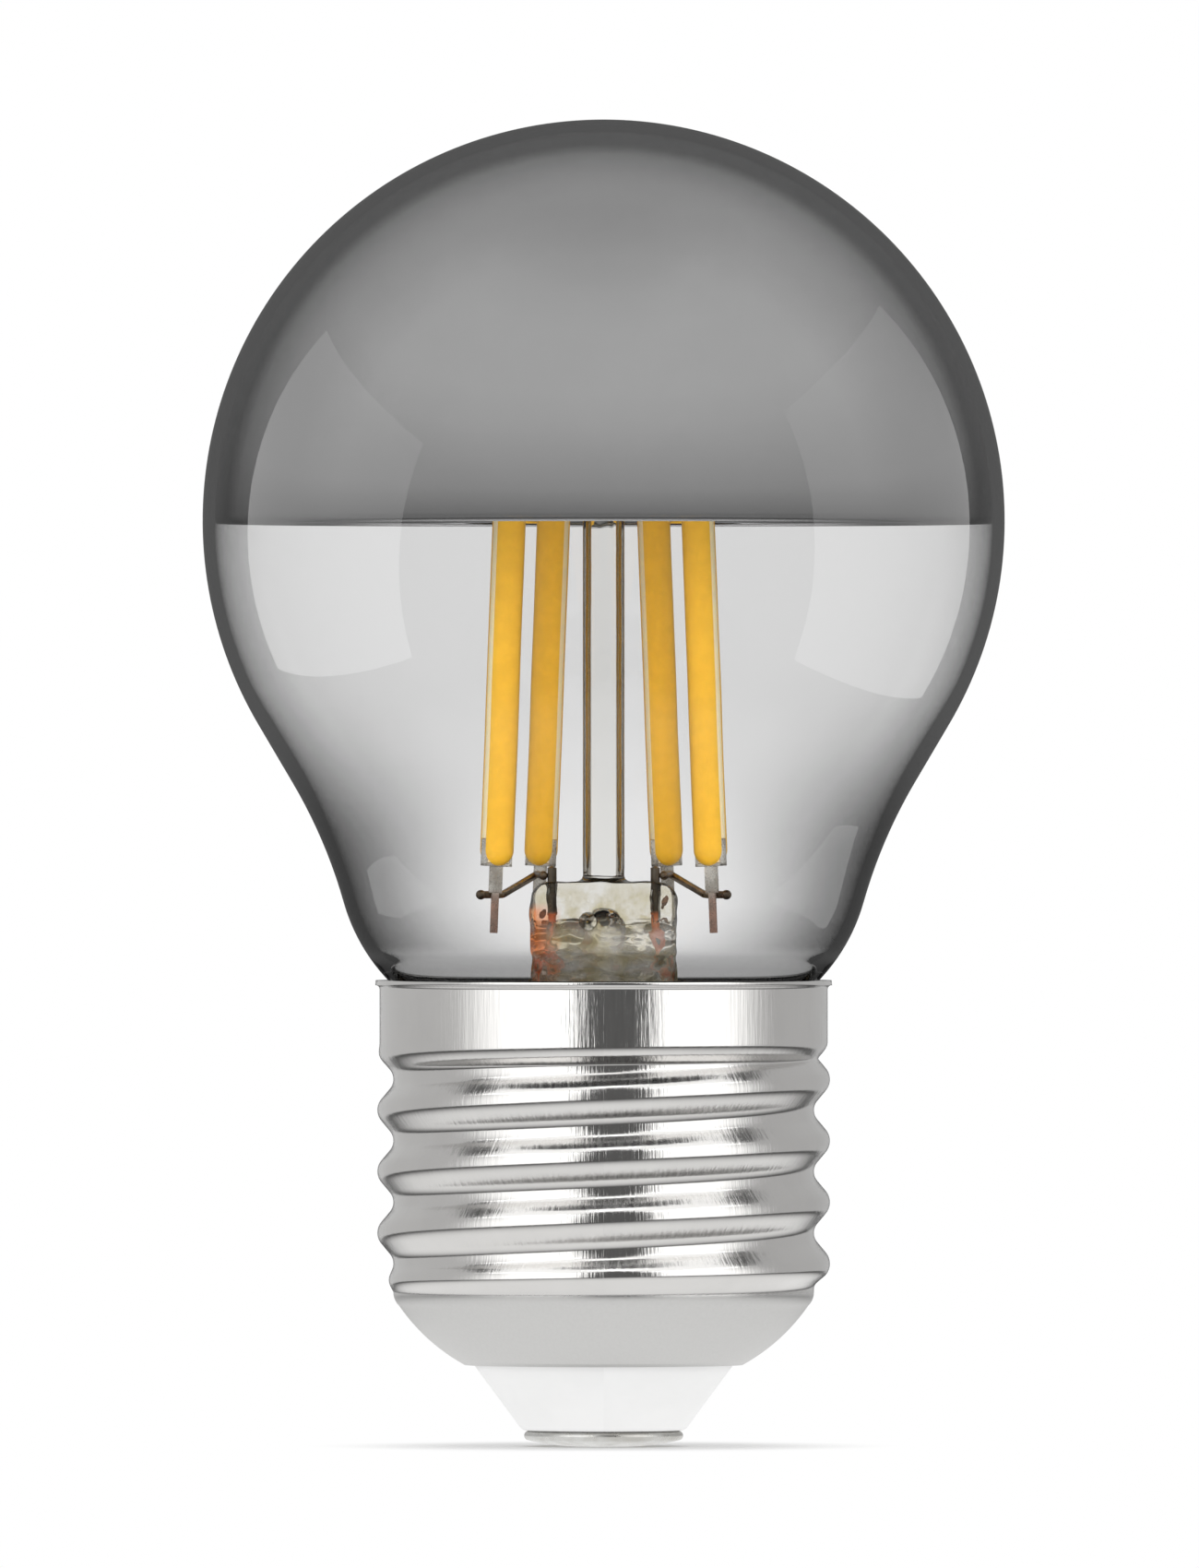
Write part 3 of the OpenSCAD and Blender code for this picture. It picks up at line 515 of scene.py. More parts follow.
def build_grain(name):
    """Stretched noise as a value between two levels, and as a height."""
    tree, given, made = new_group(
        name,
        [
            ("Vector", VECTOR, None),
            ("Stretch", VECTOR, (1, 1, 1)),
            ("Scale", VALUE, 1000.0),
            ("Detail", VALUE, 3.0),
            ("Low", VALUE, 0.2),
            ("High", VALUE, 0.3),
        ],
        [("Value", VALUE), ("Height", VALUE)],
    )
    stretched = add_node(tree, "ShaderNodeVectorMath", operation="MULTIPLY")
    tree.links.new(given.outputs["Vector"], stretched.inputs[0])
    tree.links.new(given.outputs["Stretch"], stretched.inputs[1])
    pattern = add_node(tree, "ShaderNodeTexNoise", {"Roughness": 0.6})
    tree.links.new(stretched.outputs[0], pattern.inputs["Vector"])
    tree.links.new(given.outputs["Scale"], pattern.inputs["Scale"])
    tree.links.new(given.outputs["Detail"], pattern.inputs["Detail"])
    level = add_node(tree, "ShaderNodeMapRange", {1: 0.3, 2: 0.7})
    tree.links.new(pattern.outputs[0], level.inputs[0])
    tree.links.new(given.outputs["Low"], level.inputs[3])
    tree.links.new(given.outputs["High"], level.inputs[4])
    tree.links.new(level.outputs[0], made.inputs["Value"])
    tree.links.new(pattern.outputs[0], made.inputs["Height"])
    return tree


def build_drift(name):
    """Two colours that drift into each other over the surface."""
    tree, given, made = new_group(
        name,
        [
            ("Vector", VECTOR, None),
            ("Scale", VALUE, 200.0),
            ("First", COLOUR, (1, 1, 1, 1)),
            ("Second", COLOUR, (0.8, 0.8, 0.8, 1)),
        ],
        [("Color", COLOUR), ("Mask", VALUE)],
    )
    pattern = add_node(tree, "ShaderNodeTexNoise", {"Detail": 4.0, "Roughness": 0.55})
    tree.links.new(given.outputs["Vector"], pattern.inputs["Vector"])
    tree.links.new(given.outputs["Scale"], pattern.inputs["Scale"])
    mask = remap(tree, pattern.outputs[0], 0.35, 0.65)
    mixed = blend_colours(tree, mask, (1, 1, 1), (1, 1, 1))
    mix_node = mixed.node
    tree.links.new(given.outputs["First"], mix_node.inputs[6])
    tree.links.new(given.outputs["Second"], mix_node.inputs[7])
    tree.links.new(mixed, made.inputs["Color"])
    tree.links.new(mask, made.inputs["Mask"])
    return tree


def build_round(name):
    """Place on the lamp as turn times radius, distance from the axis, and height."""
    tree, given, made = new_group(
        name,
        [("Vector", VECTOR, None), ("Radius", VALUE, 0.013)],
        [("Vector", VECTOR), ("Height", VALUE), ("Distance", VALUE)],
    )
    parts = add_node(tree, "ShaderNodeSeparateXYZ")
    tree.links.new(given.outputs["Vector"], parts.inputs[0])
    turn = sums(tree, "ARCTAN2", parts.outputs[0], parts.outputs[1])
    along = sums(tree, "MULTIPLY", turn, given.outputs["Radius"])
    squares = sums(
        tree,
        "ADD",
        sums(tree, "MULTIPLY", parts.outputs[0], parts.outputs[0]),
        sums(tree, "MULTIPLY", parts.outputs[1], parts.outputs[1]),
    )
    distance = sums(tree, "SQRT", squares, 0.0)
    joined = add_node(tree, "ShaderNodeCombineXYZ")
    tree.links.new(along, joined.inputs[0])
    tree.links.new(distance, joined.inputs[1])
    tree.links.new(parts.outputs[2], joined.inputs[2])
    tree.links.new(joined.outputs[0], made.inputs["Vector"])
    tree.links.new(parts.outputs[2], made.inputs["Height"])
    tree.links.new(distance, made.inputs["Distance"])
    return tree


GROUPS = {"grain": build_grain, "tone_drift": build_drift, "round_the_lamp": build_round}


class Paint:
    """A material that is being built: its tree, its shader and its place coordinates."""

    def __init__(self, name, **values):
        self.material = bpy.data.materials.new(name)
        self.material.use_nodes = True
        self.tree = self.material.node_tree
        self.shader = self.tree.nodes["Principled BSDF"]
        self.output = self.tree.nodes["Material Output"]
        self.place = add_node(self.tree, "ShaderNodeTexCoord").outputs["Object"]
        for key, value in values.items():
            self.shader.inputs[key.replace("_", " ")].default_value = value

    def group(self, name, vector=None, **values):
        """One of the shared groups, fed with the place and its own values."""
        node = add_node(self.tree, "ShaderNodeGroup")
        node.node_tree = shared_group(name)
        for key, value in values.items():
            node.inputs[key].default_value = value
        self.tree.links.new(vector or self.place, node.inputs["Vector"])
        return node

    def feed(self, socket, name):
        self.tree.links.new(socket, self.shader.inputs[name])

    def bump(self, height, distance, strength=1.0):
        node = add_node(self.tree, "ShaderNodeBump", {"Strength": strength, "Distance": distance})
        self.tree.links.new(height, node.inputs["Height"])
        self.feed(node.outputs[0], "Normal")
        return node

    def round_place(self, radius):
        node = self.group("round_the_lamp", Radius=radius)
        return node.outputs["Vector"], node.outputs["Height"], node.outputs["Distance"]


def rim_shade(paint, blend, stops):
    """Brightness that falls as the surface turns away: stops are (turned away, brightness)."""
    turned = add_node(paint.tree, "ShaderNodeLayerWeight", {"Blend": blend})
    ramp = add_node(paint.tree, "ShaderNodeValToRGB")
    set_stops(ramp.color_ramp, stops)
    paint.tree.links.new(turned.outputs["Facing"], ramp.inputs[0])
    return ramp.outputs[0]


def set_stops(ramp, stops):
    ramp.elements[0].position, ramp.elements[1].position = stops[0][0], stops[-1][0]
    for place, _ in stops[1:-1]:
        ramp.elements.new(place)
    for stop, (_, level) in zip(ramp.elements, stops):
        stop.color = (level, level, level, 1)


def let_light_through(paint, tint):
    """Glass that casts only a pale shadow, so that what it holds is lit."""
    tree = paint.tree
    path = add_node(tree, "ShaderNodeLightPath")
    clear = add_node(tree, "ShaderNodeBsdfTransparent", {"Color": rgba(tint)})
    mix = add_node(tree, "ShaderNodeMixShader")
    tree.links.new(path.outputs["Is Shadow Ray"], mix.inputs[0])
    tree.links.new(paint.shader.outputs[0], mix.inputs[1])
    tree.links.new(clear.outputs[0], mix.inputs[2])
    tree.links.new(mix.outputs[0], paint.output.inputs["Surface"])


def paint_envelope(finishes, globe_z, lip_z):
    """Smoke-tinted glass with painted shade: its colour darkens where it turns away, more widely down its neck, and is
    a flat painted grey just above the lip; its refraction is calmer down its neck.
    """
    paint = Paint("smoked_glass", Transmission_Weight=1.0, Roughness=0.0, IOR=1.47)
    # Painted shade: the glass's colour darkens where its surface turns away from view.
    stops = ((0.2, 0.97), (0.42, 0.945), (0.5, 0.92), (0.57, 0.86), (0.66, 0.8), (0.8, 0.85), (1, 0.9))
    tree = paint.tree
    parts = add_node(tree, "ShaderNodeSeparateXYZ")
    tree.links.new(paint.place, parts.inputs[0])
    height = parts.outputs[2]
    neck = sums(
        tree,
        "MULTIPLY",
        remap(tree, height, globe_z - 0.0095, globe_z - 0.02),
        remap(tree, height, lip_z + 0.0006, lip_z + 0.002),
    )
    # Painted shade down the neck, wider and darker than on the globe.
    neck_painted_shade_stops = ((0.12, 1), (0.27, 0.8), (0.39, 0.62), (0.47, 0.5), (0.6, 0.4), (0.7, 0.33), (1, 0.2))
    tint = blend_colours(tree, neck, rim_shade(paint, 0.5, stops), rim_shade(paint, 0.5, neck_painted_shade_stops))
    # Just above the lip the painted shade gives way to a flat painted grey.
    clear = remap(tree, height, lip_z + 0.002, lip_z + 0.0006)
    paint.feed(blend_colours(tree, clear, tint, (0.66, 0.66, 0.66)), "Base Color")
    calm = remap(tree, height, globe_z - 0.0095, globe_z - 0.019, 1.47, 1.2)
    paint.feed(sums(tree, "SUBTRACT", calm, remap(tree, clear, 0.0, 1.0, 0.0, 0.17)), "IOR")
    waves = paint.group("grain", Scale=55.0, Detail=1.0, Stretch=(1, 1, 0.5))
    paint.bump(waves.outputs["Height"], 0.00002)
    let_light_through(paint, (0.8, 0.8, 0.8))
    smoke = add_node(
        paint.tree, "ShaderNodeVolumeAbsorption", {"Color": (0, 0, 0, 1), "Density": finishes.smoke_density}
    )
    paint.tree.links.new(smoke.outputs[0], paint.output.inputs["Volume"])
    return paint.material


def paint_silver(finishes):
    paint = Paint("silver_coat", Metallic=1.0)
    drift = paint.group(
        "tone_drift", Scale=90.0, First=rgba(finishes.silver), Second=rgba([c * 0.97 for c in finishes.silver])
    )
    # Painted shade: the silver's colour darkens where the crown turns away from view.
    rim = rim_shade(paint, 0.5, ((0.27, 0.99), (0.4, 0.87), (0.53, 0.82), (0.66, 0.72), (0.75, 0.25), (1, 0.1)))
    shaded = add_node(paint.tree, "ShaderNodeMix", {0: 1.0}, data_type="RGBA", blend_type="MULTIPLY")
    paint.tree.links.new(drift.outputs["Color"], shaded.inputs[6])
    paint.tree.links.new(rim, shaded.inputs[7])
    paint.feed(shaded.outputs[2], "Base Color")
    cloud = paint.group("grain", Scale=160.0, Low=0.02, High=0.05)
    paint.feed(cloud.outputs["Value"], "Roughness")
    return paint.material


def paint_stem(press_top):
    """Clear pressed glass whose pressed part drifts between cream and olive, with painted shade that darkens its
    curved sides where they turn away and a painted refraction of the copper lead low on its left edge.
    """
    paint = Paint("stem_glass", Transmission_Weight=1.0, Roughness=0.0, IOR=1.5)
    tree = paint.tree
    # Painted shade: a dark tint where the rod and press turn away from view, weaker in the press's foot.
    turned = add_node(tree, "ShaderNodeLayerWeight", {"Blend": 0.5})
    shade = remap(tree, turned.outputs["Facing"], 0.17, 0.22)
    drift = paint.group("tone_drift", Scale=650.0, First=(0.99, 0.98, 0.94, 1), Second=(0.66, 0.59, 0.38, 1))
    parts = add_node(tree, "ShaderNodeSeparateXYZ")
    tree.links.new(paint.place, parts.inputs[0])
    pressed = remap(tree, parts.outputs[2], press_top + 0.0003, press_top - 0.0012)
    body = blend_colours(tree, pressed, (0.99, 0.985, 0.96), drift.outputs["Color"])
    low = remap(tree, parts.outputs[2], press_top - 0.0022, press_top - 0.0034)
    shade = sums(tree, "MULTIPLY", shade, remap(tree, low, 0.0, 1.0, 1.0, 0.12, smooth=False))
    tint = blend_colours(tree, shade, body, (0.13, 0.115, 0.09))
    # Painted refraction of the copper-clad lead: an orange, streaked patch low on the press's left edge.
    left = remap(tree, parts.outputs[0], -0.0024, -0.0034)
    copper_refraction_streaks = paint.group("grain", Scale=700.0, Detail=1.0, Stretch=(1, 1, 0.3), Low=0.2, High=1.0)
    copper = sums(tree, "MULTIPLY", sums(tree, "MULTIPLY", left, copper_refraction_streaks.outputs["Value"]), pressed)
    copper = sums(tree, "MULTIPLY", copper, remap(tree, parts.outputs[2], press_top - 0.0012, press_top - 0.002))
    tint = blend_colours(tree, copper, tint, (0.98, 0.29, 0.07))
    paint.feed(tint, "Base Color")
    paint.feed(remap(tree, low, 0.0, 1.0, 1.0, 0.74, smooth=False), "Transmission Weight")
    waves = paint.group("grain", Scale=900.0, Detail=2.0, Stretch=(1, 1, 0.35))
    folds = paint.group("grain", Scale=420.0, Detail=1.5, Stretch=(1, 1, 1.8))
    deep = sums(tree, "MULTIPLY", folds.outputs["Height"], remap(tree, low, 0.0, 1.0, 8.0, 60.0, smooth=False))
    deep = sums(tree, "MULTIPLY", deep, pressed)
    paint.bump(sums(tree, "ADD", waves.outputs["Height"], deep), 0.00003)
    let_light_through(paint, (0.9, 0.9, 0.86))
    return paint.material


def paint_phosphor(finishes):
    """Silicone full of phosphor: soft, grainy, paler where it turns away from view."""
    paint = Paint("phosphor", IOR=1.41, Coat_Weight=0.25, Coat_Roughness=0.22)
    paint.shader.inputs["Subsurface Weight"].default_value = 0.12
    paint.shader.inputs["Subsurface Radius"].default_value = (0.0006, 0.0003, 0.0001)
    paint.shader.inputs["Subsurface Scale"].default_value = 1.0
    tree = paint.tree
    drift = paint.group(
        "tone_drift",
        Scale=1500.0,
        First=rgba(finishes.phosphor),
        Second=rgba([c * 0.93 for c in finishes.phosphor]),
    )
    # Paler towards the edges, where the surface turns away from view.
    turned = add_node(tree, "ShaderNodeLayerWeight", {"Blend": 0.3})
    thin = remap(tree, turned.outputs["Facing"], 0.35, 0.9, 0.0, 0.6)
    body = blend_colours(tree, thin, drift.outputs["Color"], finishes.phosphor_pale)
    specks = paint.group("grain", Scale=9000.0, Detail=2.0, Low=0.0, High=0.22)
    speckled = blend_colours(tree, specks.outputs["Value"], body, (0.72, 0.36, 0.04))
    paint.feed(speckled, "Base Color")
    skin = paint.group("grain", Scale=1400.0, Detail=3.0, Low=0.35, High=0.5, Stretch=(1, 1, 0.5))
    paint.feed(skin.outputs["Value"], "Roughness")
    paint.bump(skin.outputs["Height"], 0.00006)
    return paint.material


def paint_ceramic(finishes):
    paint = Paint("strip_ceramic", IOR=1.45)
    paint.shader.inputs["Subsurface Weight"].default_value = 0.3
    paint.shader.inputs["Subsurface Radius"].default_value = (0.0008, 0.0004, 0.0002)
    paint.shader.inputs["Subsurface Scale"].default_value = 1.0
    drift = paint.group(
        "tone_drift", Scale=1200.0, First=rgba(finishes.ceramic), Second=(0.9, 0.72, 0.45, 1)
    )
    paint.feed(drift.outputs["Color"], "Base Color")
    fired = paint.group("grain", Scale=6000.0, Low=0.3, High=0.45)
    paint.feed(fired.outputs["Value"], "Roughness")
    paint.bump(fired.outputs["Height"], 0.00001)
    return paint.material


def paint_metal(name, first, second, low, high, scale, stretch=(1, 1, 1), depth=0.00001, drift_scale=600.0):
    """Bare metal with drifting tone and a fine grain."""
    paint = Paint(name, Metallic=1.0)
    drift = paint.group("tone_drift", Scale=drift_scale, First=rgba(first), Second=rgba(second))
    paint.feed(drift.outputs["Color"], "Base Color")
    rubbed = paint.group("grain", Scale=scale, Stretch=stretch, Low=low, High=high)
    paint.feed(rubbed.outputs["Value"], "Roughness")
    paint.bump(rubbed.outputs["Height"], depth)
    return paint


def paint_wire(finishes, copper_z):
    """Nickel wire that is copper-clad below a height, with a dull scale on both."""
    paint = paint_metal(
        "wire_metal", finishes.wire_nickel, (0.24, 0.2, 0.16), 0.25, 0.5, 4000.0, (1, 1, 0.3)
    )
    tree = paint.tree
    height = add_node(tree, "ShaderNodeSeparateXYZ")
    tree.links.new(paint.place, height.inputs[0])
    below = remap(tree, height.outputs[2], copper_z + 0.00015, copper_z - 0.00015)
    drift = paint.group(
        "tone_drift", Scale=900.0, First=rgba(finishes.wire_copper), Second=(0.62, 0.16, 0.06, 1)
    )
    old = paint.shader.inputs["Base Color"].links[0].from_socket
    paint.feed(blend_colours(tree, below, old, drift.outputs["Color"]), "Base Color")
    paint.feed(remap(tree, below, 0.0, 1.0, 1.0, 0.3, smooth=False), "Metallic")
    return paint.material


def paint_clip(finishes, stub_z):
    """Bright clip metal, browner towards its trimmed end."""
    paint = paint_metal("clip_metal", (0.88, 0.86, 0.8), (0.5, 0.46, 0.4), 0.18, 0.42, 3500.0)
    paint.shader.inputs["Metallic"].default_value = 0.6
    tree = paint.tree
    height = add_node(tree, "ShaderNodeSeparateXYZ")
    tree.links.new(paint.place, height.inputs[0])
    below = remap(tree, height.outputs[2], stub_z + 0.0004, stub_z - 0.0006)
    drift = paint.group(
        "tone_drift", Scale=1400.0, First=(0.5, 0.31, 0.24, 1), Second=(0.36, 0.26, 0.21, 1)
    )
    old = paint.shader.inputs["Base Color"].links[0].from_socket
    paint.feed(blend_colours(tree, below, old, drift.outputs["Color"]), "Base Color")
    return paint.material


def paint_nickel(finishes, cap):
    """Nickel plate: drawn vertically on skirt and thread, matt on the bowl."""
    paint = Paint("nickel_plate", Metallic=1.0)
    tree = paint.tree
    around, height, _ = paint.round_place(cap.crest_r)
    drift = paint.group(
        "tone_drift",
        around,
        Scale=160.0,
        First=rgba(finishes.nickel),
        Second=rgba([c * 0.95 for c in finishes.nickel]),
    )
    bowl = remap(tree, height, cap.thread_low + 0.0004, cap.thread_low - 0.0006)
    paint.feed(blend_colours(tree, bowl, drift.outputs["Color"], finishes.matt_nickel), "Base Color")
    drawn = paint.group("grain", around, Scale=5200.0, Stretch=(1, 0.2, 0.05), Low=0.1, High=0.18)
    matt = paint.group("grain", around, Scale=5200.0, Low=0.45, High=0.55)
    rough = add_node(tree, "ShaderNodeMix", data_type="FLOAT")
    tree.links.new(bowl, rough.inputs[0])
    tree.links.new(drawn.outputs["Value"], rough.inputs[2])
    tree.links.new(matt.outputs["Value"], rough.inputs[3])
    paint.feed(rough.outputs[0], "Roughness")
    surface = add_node(tree, "ShaderNodeMix", data_type="FLOAT")
    tree.links.new(bowl, surface.inputs[0])
    tree.links.new(drawn.outputs["Height"], surface.inputs[2])
    tree.links.new(matt.outputs["Height"], surface.inputs[3])
    paint.bump(surface.outputs[0], 0.000032 * finishes.grain)
    return paint.material


def paint_insulator(finishes):
    """White moulded insulator with a soft skin and faint flow lines."""
    paint = Paint("white_insulator", IOR=1.5, Coat_Weight=0.15, Coat_Roughness=0.3)
    around, _, _ = paint.round_place(0.006)
    drift = paint.group(
        "tone_drift",
        around,
        Scale=150.0,
        First=rgba(finishes.insulator),
        Second=rgba([c * 0.965 for c in finishes.insulator]),
    )
    paint.feed(drift.outputs["Color"], "Base Color")
    skin = paint.group("grain", around, Scale=1800.0, Stretch=(0.3, 1, 1), Low=0.38, High=0.52)
    paint.feed(skin.outputs["Value"], "Roughness")
    paint.bump(skin.outputs["Height"], 0.00002)
    return paint.material


def paint_solid(name, first, second, low, high, scale, depth, drift_scale=400.0, **values):
    """Opaque material with drifting tone and a grain."""
    paint = Paint(name, **values)
    drift = paint.group("tone_drift", Scale=drift_scale, First=rgba(first), Second=rgba(second))
    paint.feed(drift.outputs["Color"], "Base Color")
    skin = paint.group("grain", Scale=scale, Low=low, High=high)
    paint.feed(skin.outputs["Value"], "Roughness")
    paint.bump(skin.outputs["Height"], depth)
    return paint


def paint_component(name, body, metal, box, axis, inner, low, high, scale):
    """Plastic or coated body whose ends or feet, beyond inner along an axis, are tinned metal."""
    paint = paint_solid(name, body, [c * 0.8 for c in body], low, high, scale, 0.00001)
    tree = paint.tree
    middle = (box[0][axis] + box[1][axis]) / 2
    parts = add_node(tree, "ShaderNodeSeparateXYZ")
    tree.links.new(paint.place, parts.inputs[0])
    away = sums(tree, "ABSOLUTE", sums(tree, "SUBTRACT", parts.outputs[axis], middle), 0.0)
    outer = remap(tree, away, inner, inner + 0.00002)
    old = paint.shader.inputs["Base Color"].links[0].from_socket
    paint.feed(blend_colours(tree, outer, old, metal), "Base Color")
    paint.feed(outer, "Metallic")
    return paint.material


class BULB_OT_envelope(Operator):
    """Blow the glass and lay the silver crown inside it"""

    bl_idname = "bulb.envelope"
    bl_label = "Glass and crown mirror"

    def execute(self, context):
        sizes, cap, finishes = context.scene.bulb_glass, context.scene.bulb_cap, context.scene.bulb_finishes
        outline, globe_z = globe_line(sizes, cap)
        glass = finish_piece(
            "blown_glass",
            revolve(outline, sizes.columns),
            "glass_envelope",
            paint_envelope(finishes, globe_z, cap.skirt_top + cap.lip_curve_r),
        )
        add_wall(glass, sizes.wall)
        gap = 0.02 * MM
        coat_r = sizes.globe_d / 2 - sizes.wall - gap
        edge = math.asin(sizes.mirror_edge / coat_r)
        coat = arc((0, globe_z), coat_r, math.pi / 2, edge, 80)
        coat[0] = (0, globe_z + coat_r)
        mirror = finish_piece(
            "silver_crown",
            revolve(coat, sizes.columns),
            "crown_mirror",
            paint_silver(finishes),
        )
        add_wall(mirror, sizes.mirror_t)
        return {"FINISHED"}


class BULB_OT_stem(Operator):
    """Melt the flare, press, exhaust tube and rod into one piece of rippled glass"""

    bl_idname = "bulb.stem"
    bl_label = "Glass stem"

    def execute(self, context):
        sizes = context.scene.bulb_stem
        bm = bmesh.new()
        bm.from_mesh(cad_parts["glass_stem"].data)
        bmesh.ops.remove_doubles(bm, verts=bm.verts, dist=SMALLEST)
        press_top = press_height(context.scene)
        stem = finish_piece("melted_stem", bm, "glass_stem", paint_stem(press_top))
        melt = stem.modifiers.new("melt", "REMESH")
        melt.mode = "VOXEL"
        melt.voxel_size = sizes.voxel
        melt.use_smooth_shade = True
        soften = stem.modifiers.new("soften", "SMOOTH")
        soften.factor = 0.5
        soften.iterations = 8
        apply_modifiers(stem)
        press_low = press_top - sizes.press_h
        mesh = stem.data
        normals = [vertex.normal.copy() for vertex in mesh.vertices]
        for vertex, normal in zip(mesh.vertices, normals):
            place = vertex.co.copy()
            foot = smooth_step((press_top - 0.0016 - place.z) / 0.0016)
            inside = smooth_step((place.z - press_low + 0.0012) / 0.0014)
            inside *= 1 - smooth_step((place.z - press_top + 0.0004) / 0.0014)
            if inside <= 0:
                continue
            wave = noise.noise(place / sizes.ripple_l + Vector((3.1, 7.7, 1.3)))
            wave += 0.5 * noise.noise(place * 2.1 / sizes.ripple_l)
            wave += foot * 1.1 * noise.noise(place * 1.5 / sizes.ripple_l + Vector((9.2, 0, 4.4)))
            vertex.co = place - normal * sizes.ripple * inside * (0.5 + 0.3 * foot + wave) * 0.7
        mesh.shade_smooth()
        return {"FINISHED"}


def apply_modifiers(piece):
    graph = bpy.context.evaluated_depsgraph_get()
    graph.update()
    mesh = bpy.data.meshes.new_from_object(piece.evaluated_get(graph))
    piece.modifiers.clear()
    old = piece.data
    piece.data = mesh
    bpy.data.meshes.remove(old)


def smooth_step(t):
    t = min(1, max(0, t))
    return t * t * (3 - 2 * t)


def press_height(scene):
    cap, stem = scene.bulb_cap, scene.bulb_stem
    return cap.skirt_top + stem.press_rise + cap.lip_curve_r


class BULB_OT_filaments(Operator):
    """Mould the phosphor beads on their strips and fold the end clips"""

    bl_idname = "bulb.filaments"
    bl_label = "Filaments"

    def execute(self, context):
        scene = context.scene
        sizes, finishes = scene.bulb_filaments, scene.bulb_finishes
        press_top = press_height(scene)
        phosphor = paint_phosphor(finishes)
        ceramic = paint_ceramic(finishes)
        clip_metal = paint_clip(finishes, press_top + sizes.bead_rise - sizes.tail_l)
        for row in ROWS:
            matrix = place_filament(sizes, row, press_top)[0]
            for side in SIDES:
                name = f"{row}_{side}"
                seed = ROWS.index(row) * 2 + SIDES.index(side)
                beads = build_beads(sizes, seed)
                set_place(beads, matrix, side)
                finish_piece(f"{name}_beads", beads, f"{name}_phosphor", phosphor, 1.0)
                strip = build_strip(sizes)
                set_place(strip, matrix, side)
                finish_piece(f"{name}_carrier", strip, f"{name}_strip", ceramic, 0.6)
                clips = build_clips(sizes)
                set_place(clips, matrix, side)
                finish_piece(f"{name}_end_clips", clips, f"{name}_clips", clip_metal, 0.6)
        return {"FINISHED"}


def build_beads(sizes, seed):
    """Two round-ended beads, one on each face of the strip, with the slight waves of poured silicone."""
    bm = bmesh.new()
    face = sizes.strip_t / 2
    radius = ((sizes.bead_w / 2) ** 2 + sizes.bead_h**2) / (2 * sizes.bead_h)
    for turn in (0, math.pi):
        half = bmesh.new()
        verts = bmesh.ops.create_uvsphere(half, u_segments=48, v_segments=24, radius=radius)["verts"]
        upper = [v for v in verts if v.co.z > SMALLEST]
        bmesh.ops.translate(half, vec=(0, 0, sizes.bead_l - 2 * radius), verts=upper)
        long_edges = [e for e in half.edges if e.calc_length() > radius * 2]
        bmesh.ops.subdivide_edges(half, edges=long_edges, cuts=44, use_grid_fill=True)
        bmesh.ops.translate(half, vec=(0, face + sizes.bead_h - radius, radius), verts=half.verts)
        for vertex in half.verts:
            sway = noise.noise(Vector((seed * 5.3 + turn, vertex.co.x * 400, vertex.co.z * 260)))
            vertex.co.y += sway * 0.03 * MM * smooth_step((vertex.co.y - face) / (0.3 * MM))
        bmesh.ops.bisect_plane(
            half,
            geom=half.verts[:] + half.edges[:] + half.faces[:],
            plane_co=(0, face, 0),
            plane_no=(0, -1, 0),
            clear_outer=True,
        )
        bmesh.ops.contextual_create(half, geom=[e for e in half.edges if e.is_boundary])
        bmesh.ops.rotate(half, matrix=Matrix.Rotation(turn, 3, "Z"), verts=half.verts)
        bmesh.ops.recalc_face_normals(half, faces=half.faces)
        scratch = bpy.data.meshes.new("half")
        half.to_mesh(scratch)
        half.free()
        bm.from_mesh(scratch)
        bpy.data.meshes.remove(scratch)
    return bm


def build_strip(sizes):
    bm = bmesh.new()
    inset = 0.2 * MM
    gap = 0.02 * MM
    narrow = sizes.bead_w / 2 - sizes.clip_t - gap
    half_t = sizes.strip_t / 2
    arm_end = sizes.clip_arm_l + gap
    plate(bm, (-narrow, -half_t, inset), (narrow, half_t, arm_end + 0.1 * MM), 0.03 * MM)
    plate(
        bm,
        (-narrow, -half_t, sizes.bead_l - arm_end - 0.1 * MM),
        (narrow, half_t, sizes.bead_l - inset),
        0.03 * MM,
    )
    plate(
        bm,
        (-sizes.bead_w / 2, -half_t, arm_end),
        (sizes.bead_w / 2, half_t, sizes.bead_l - arm_end),
        0.05 * MM,
    )
    return bm


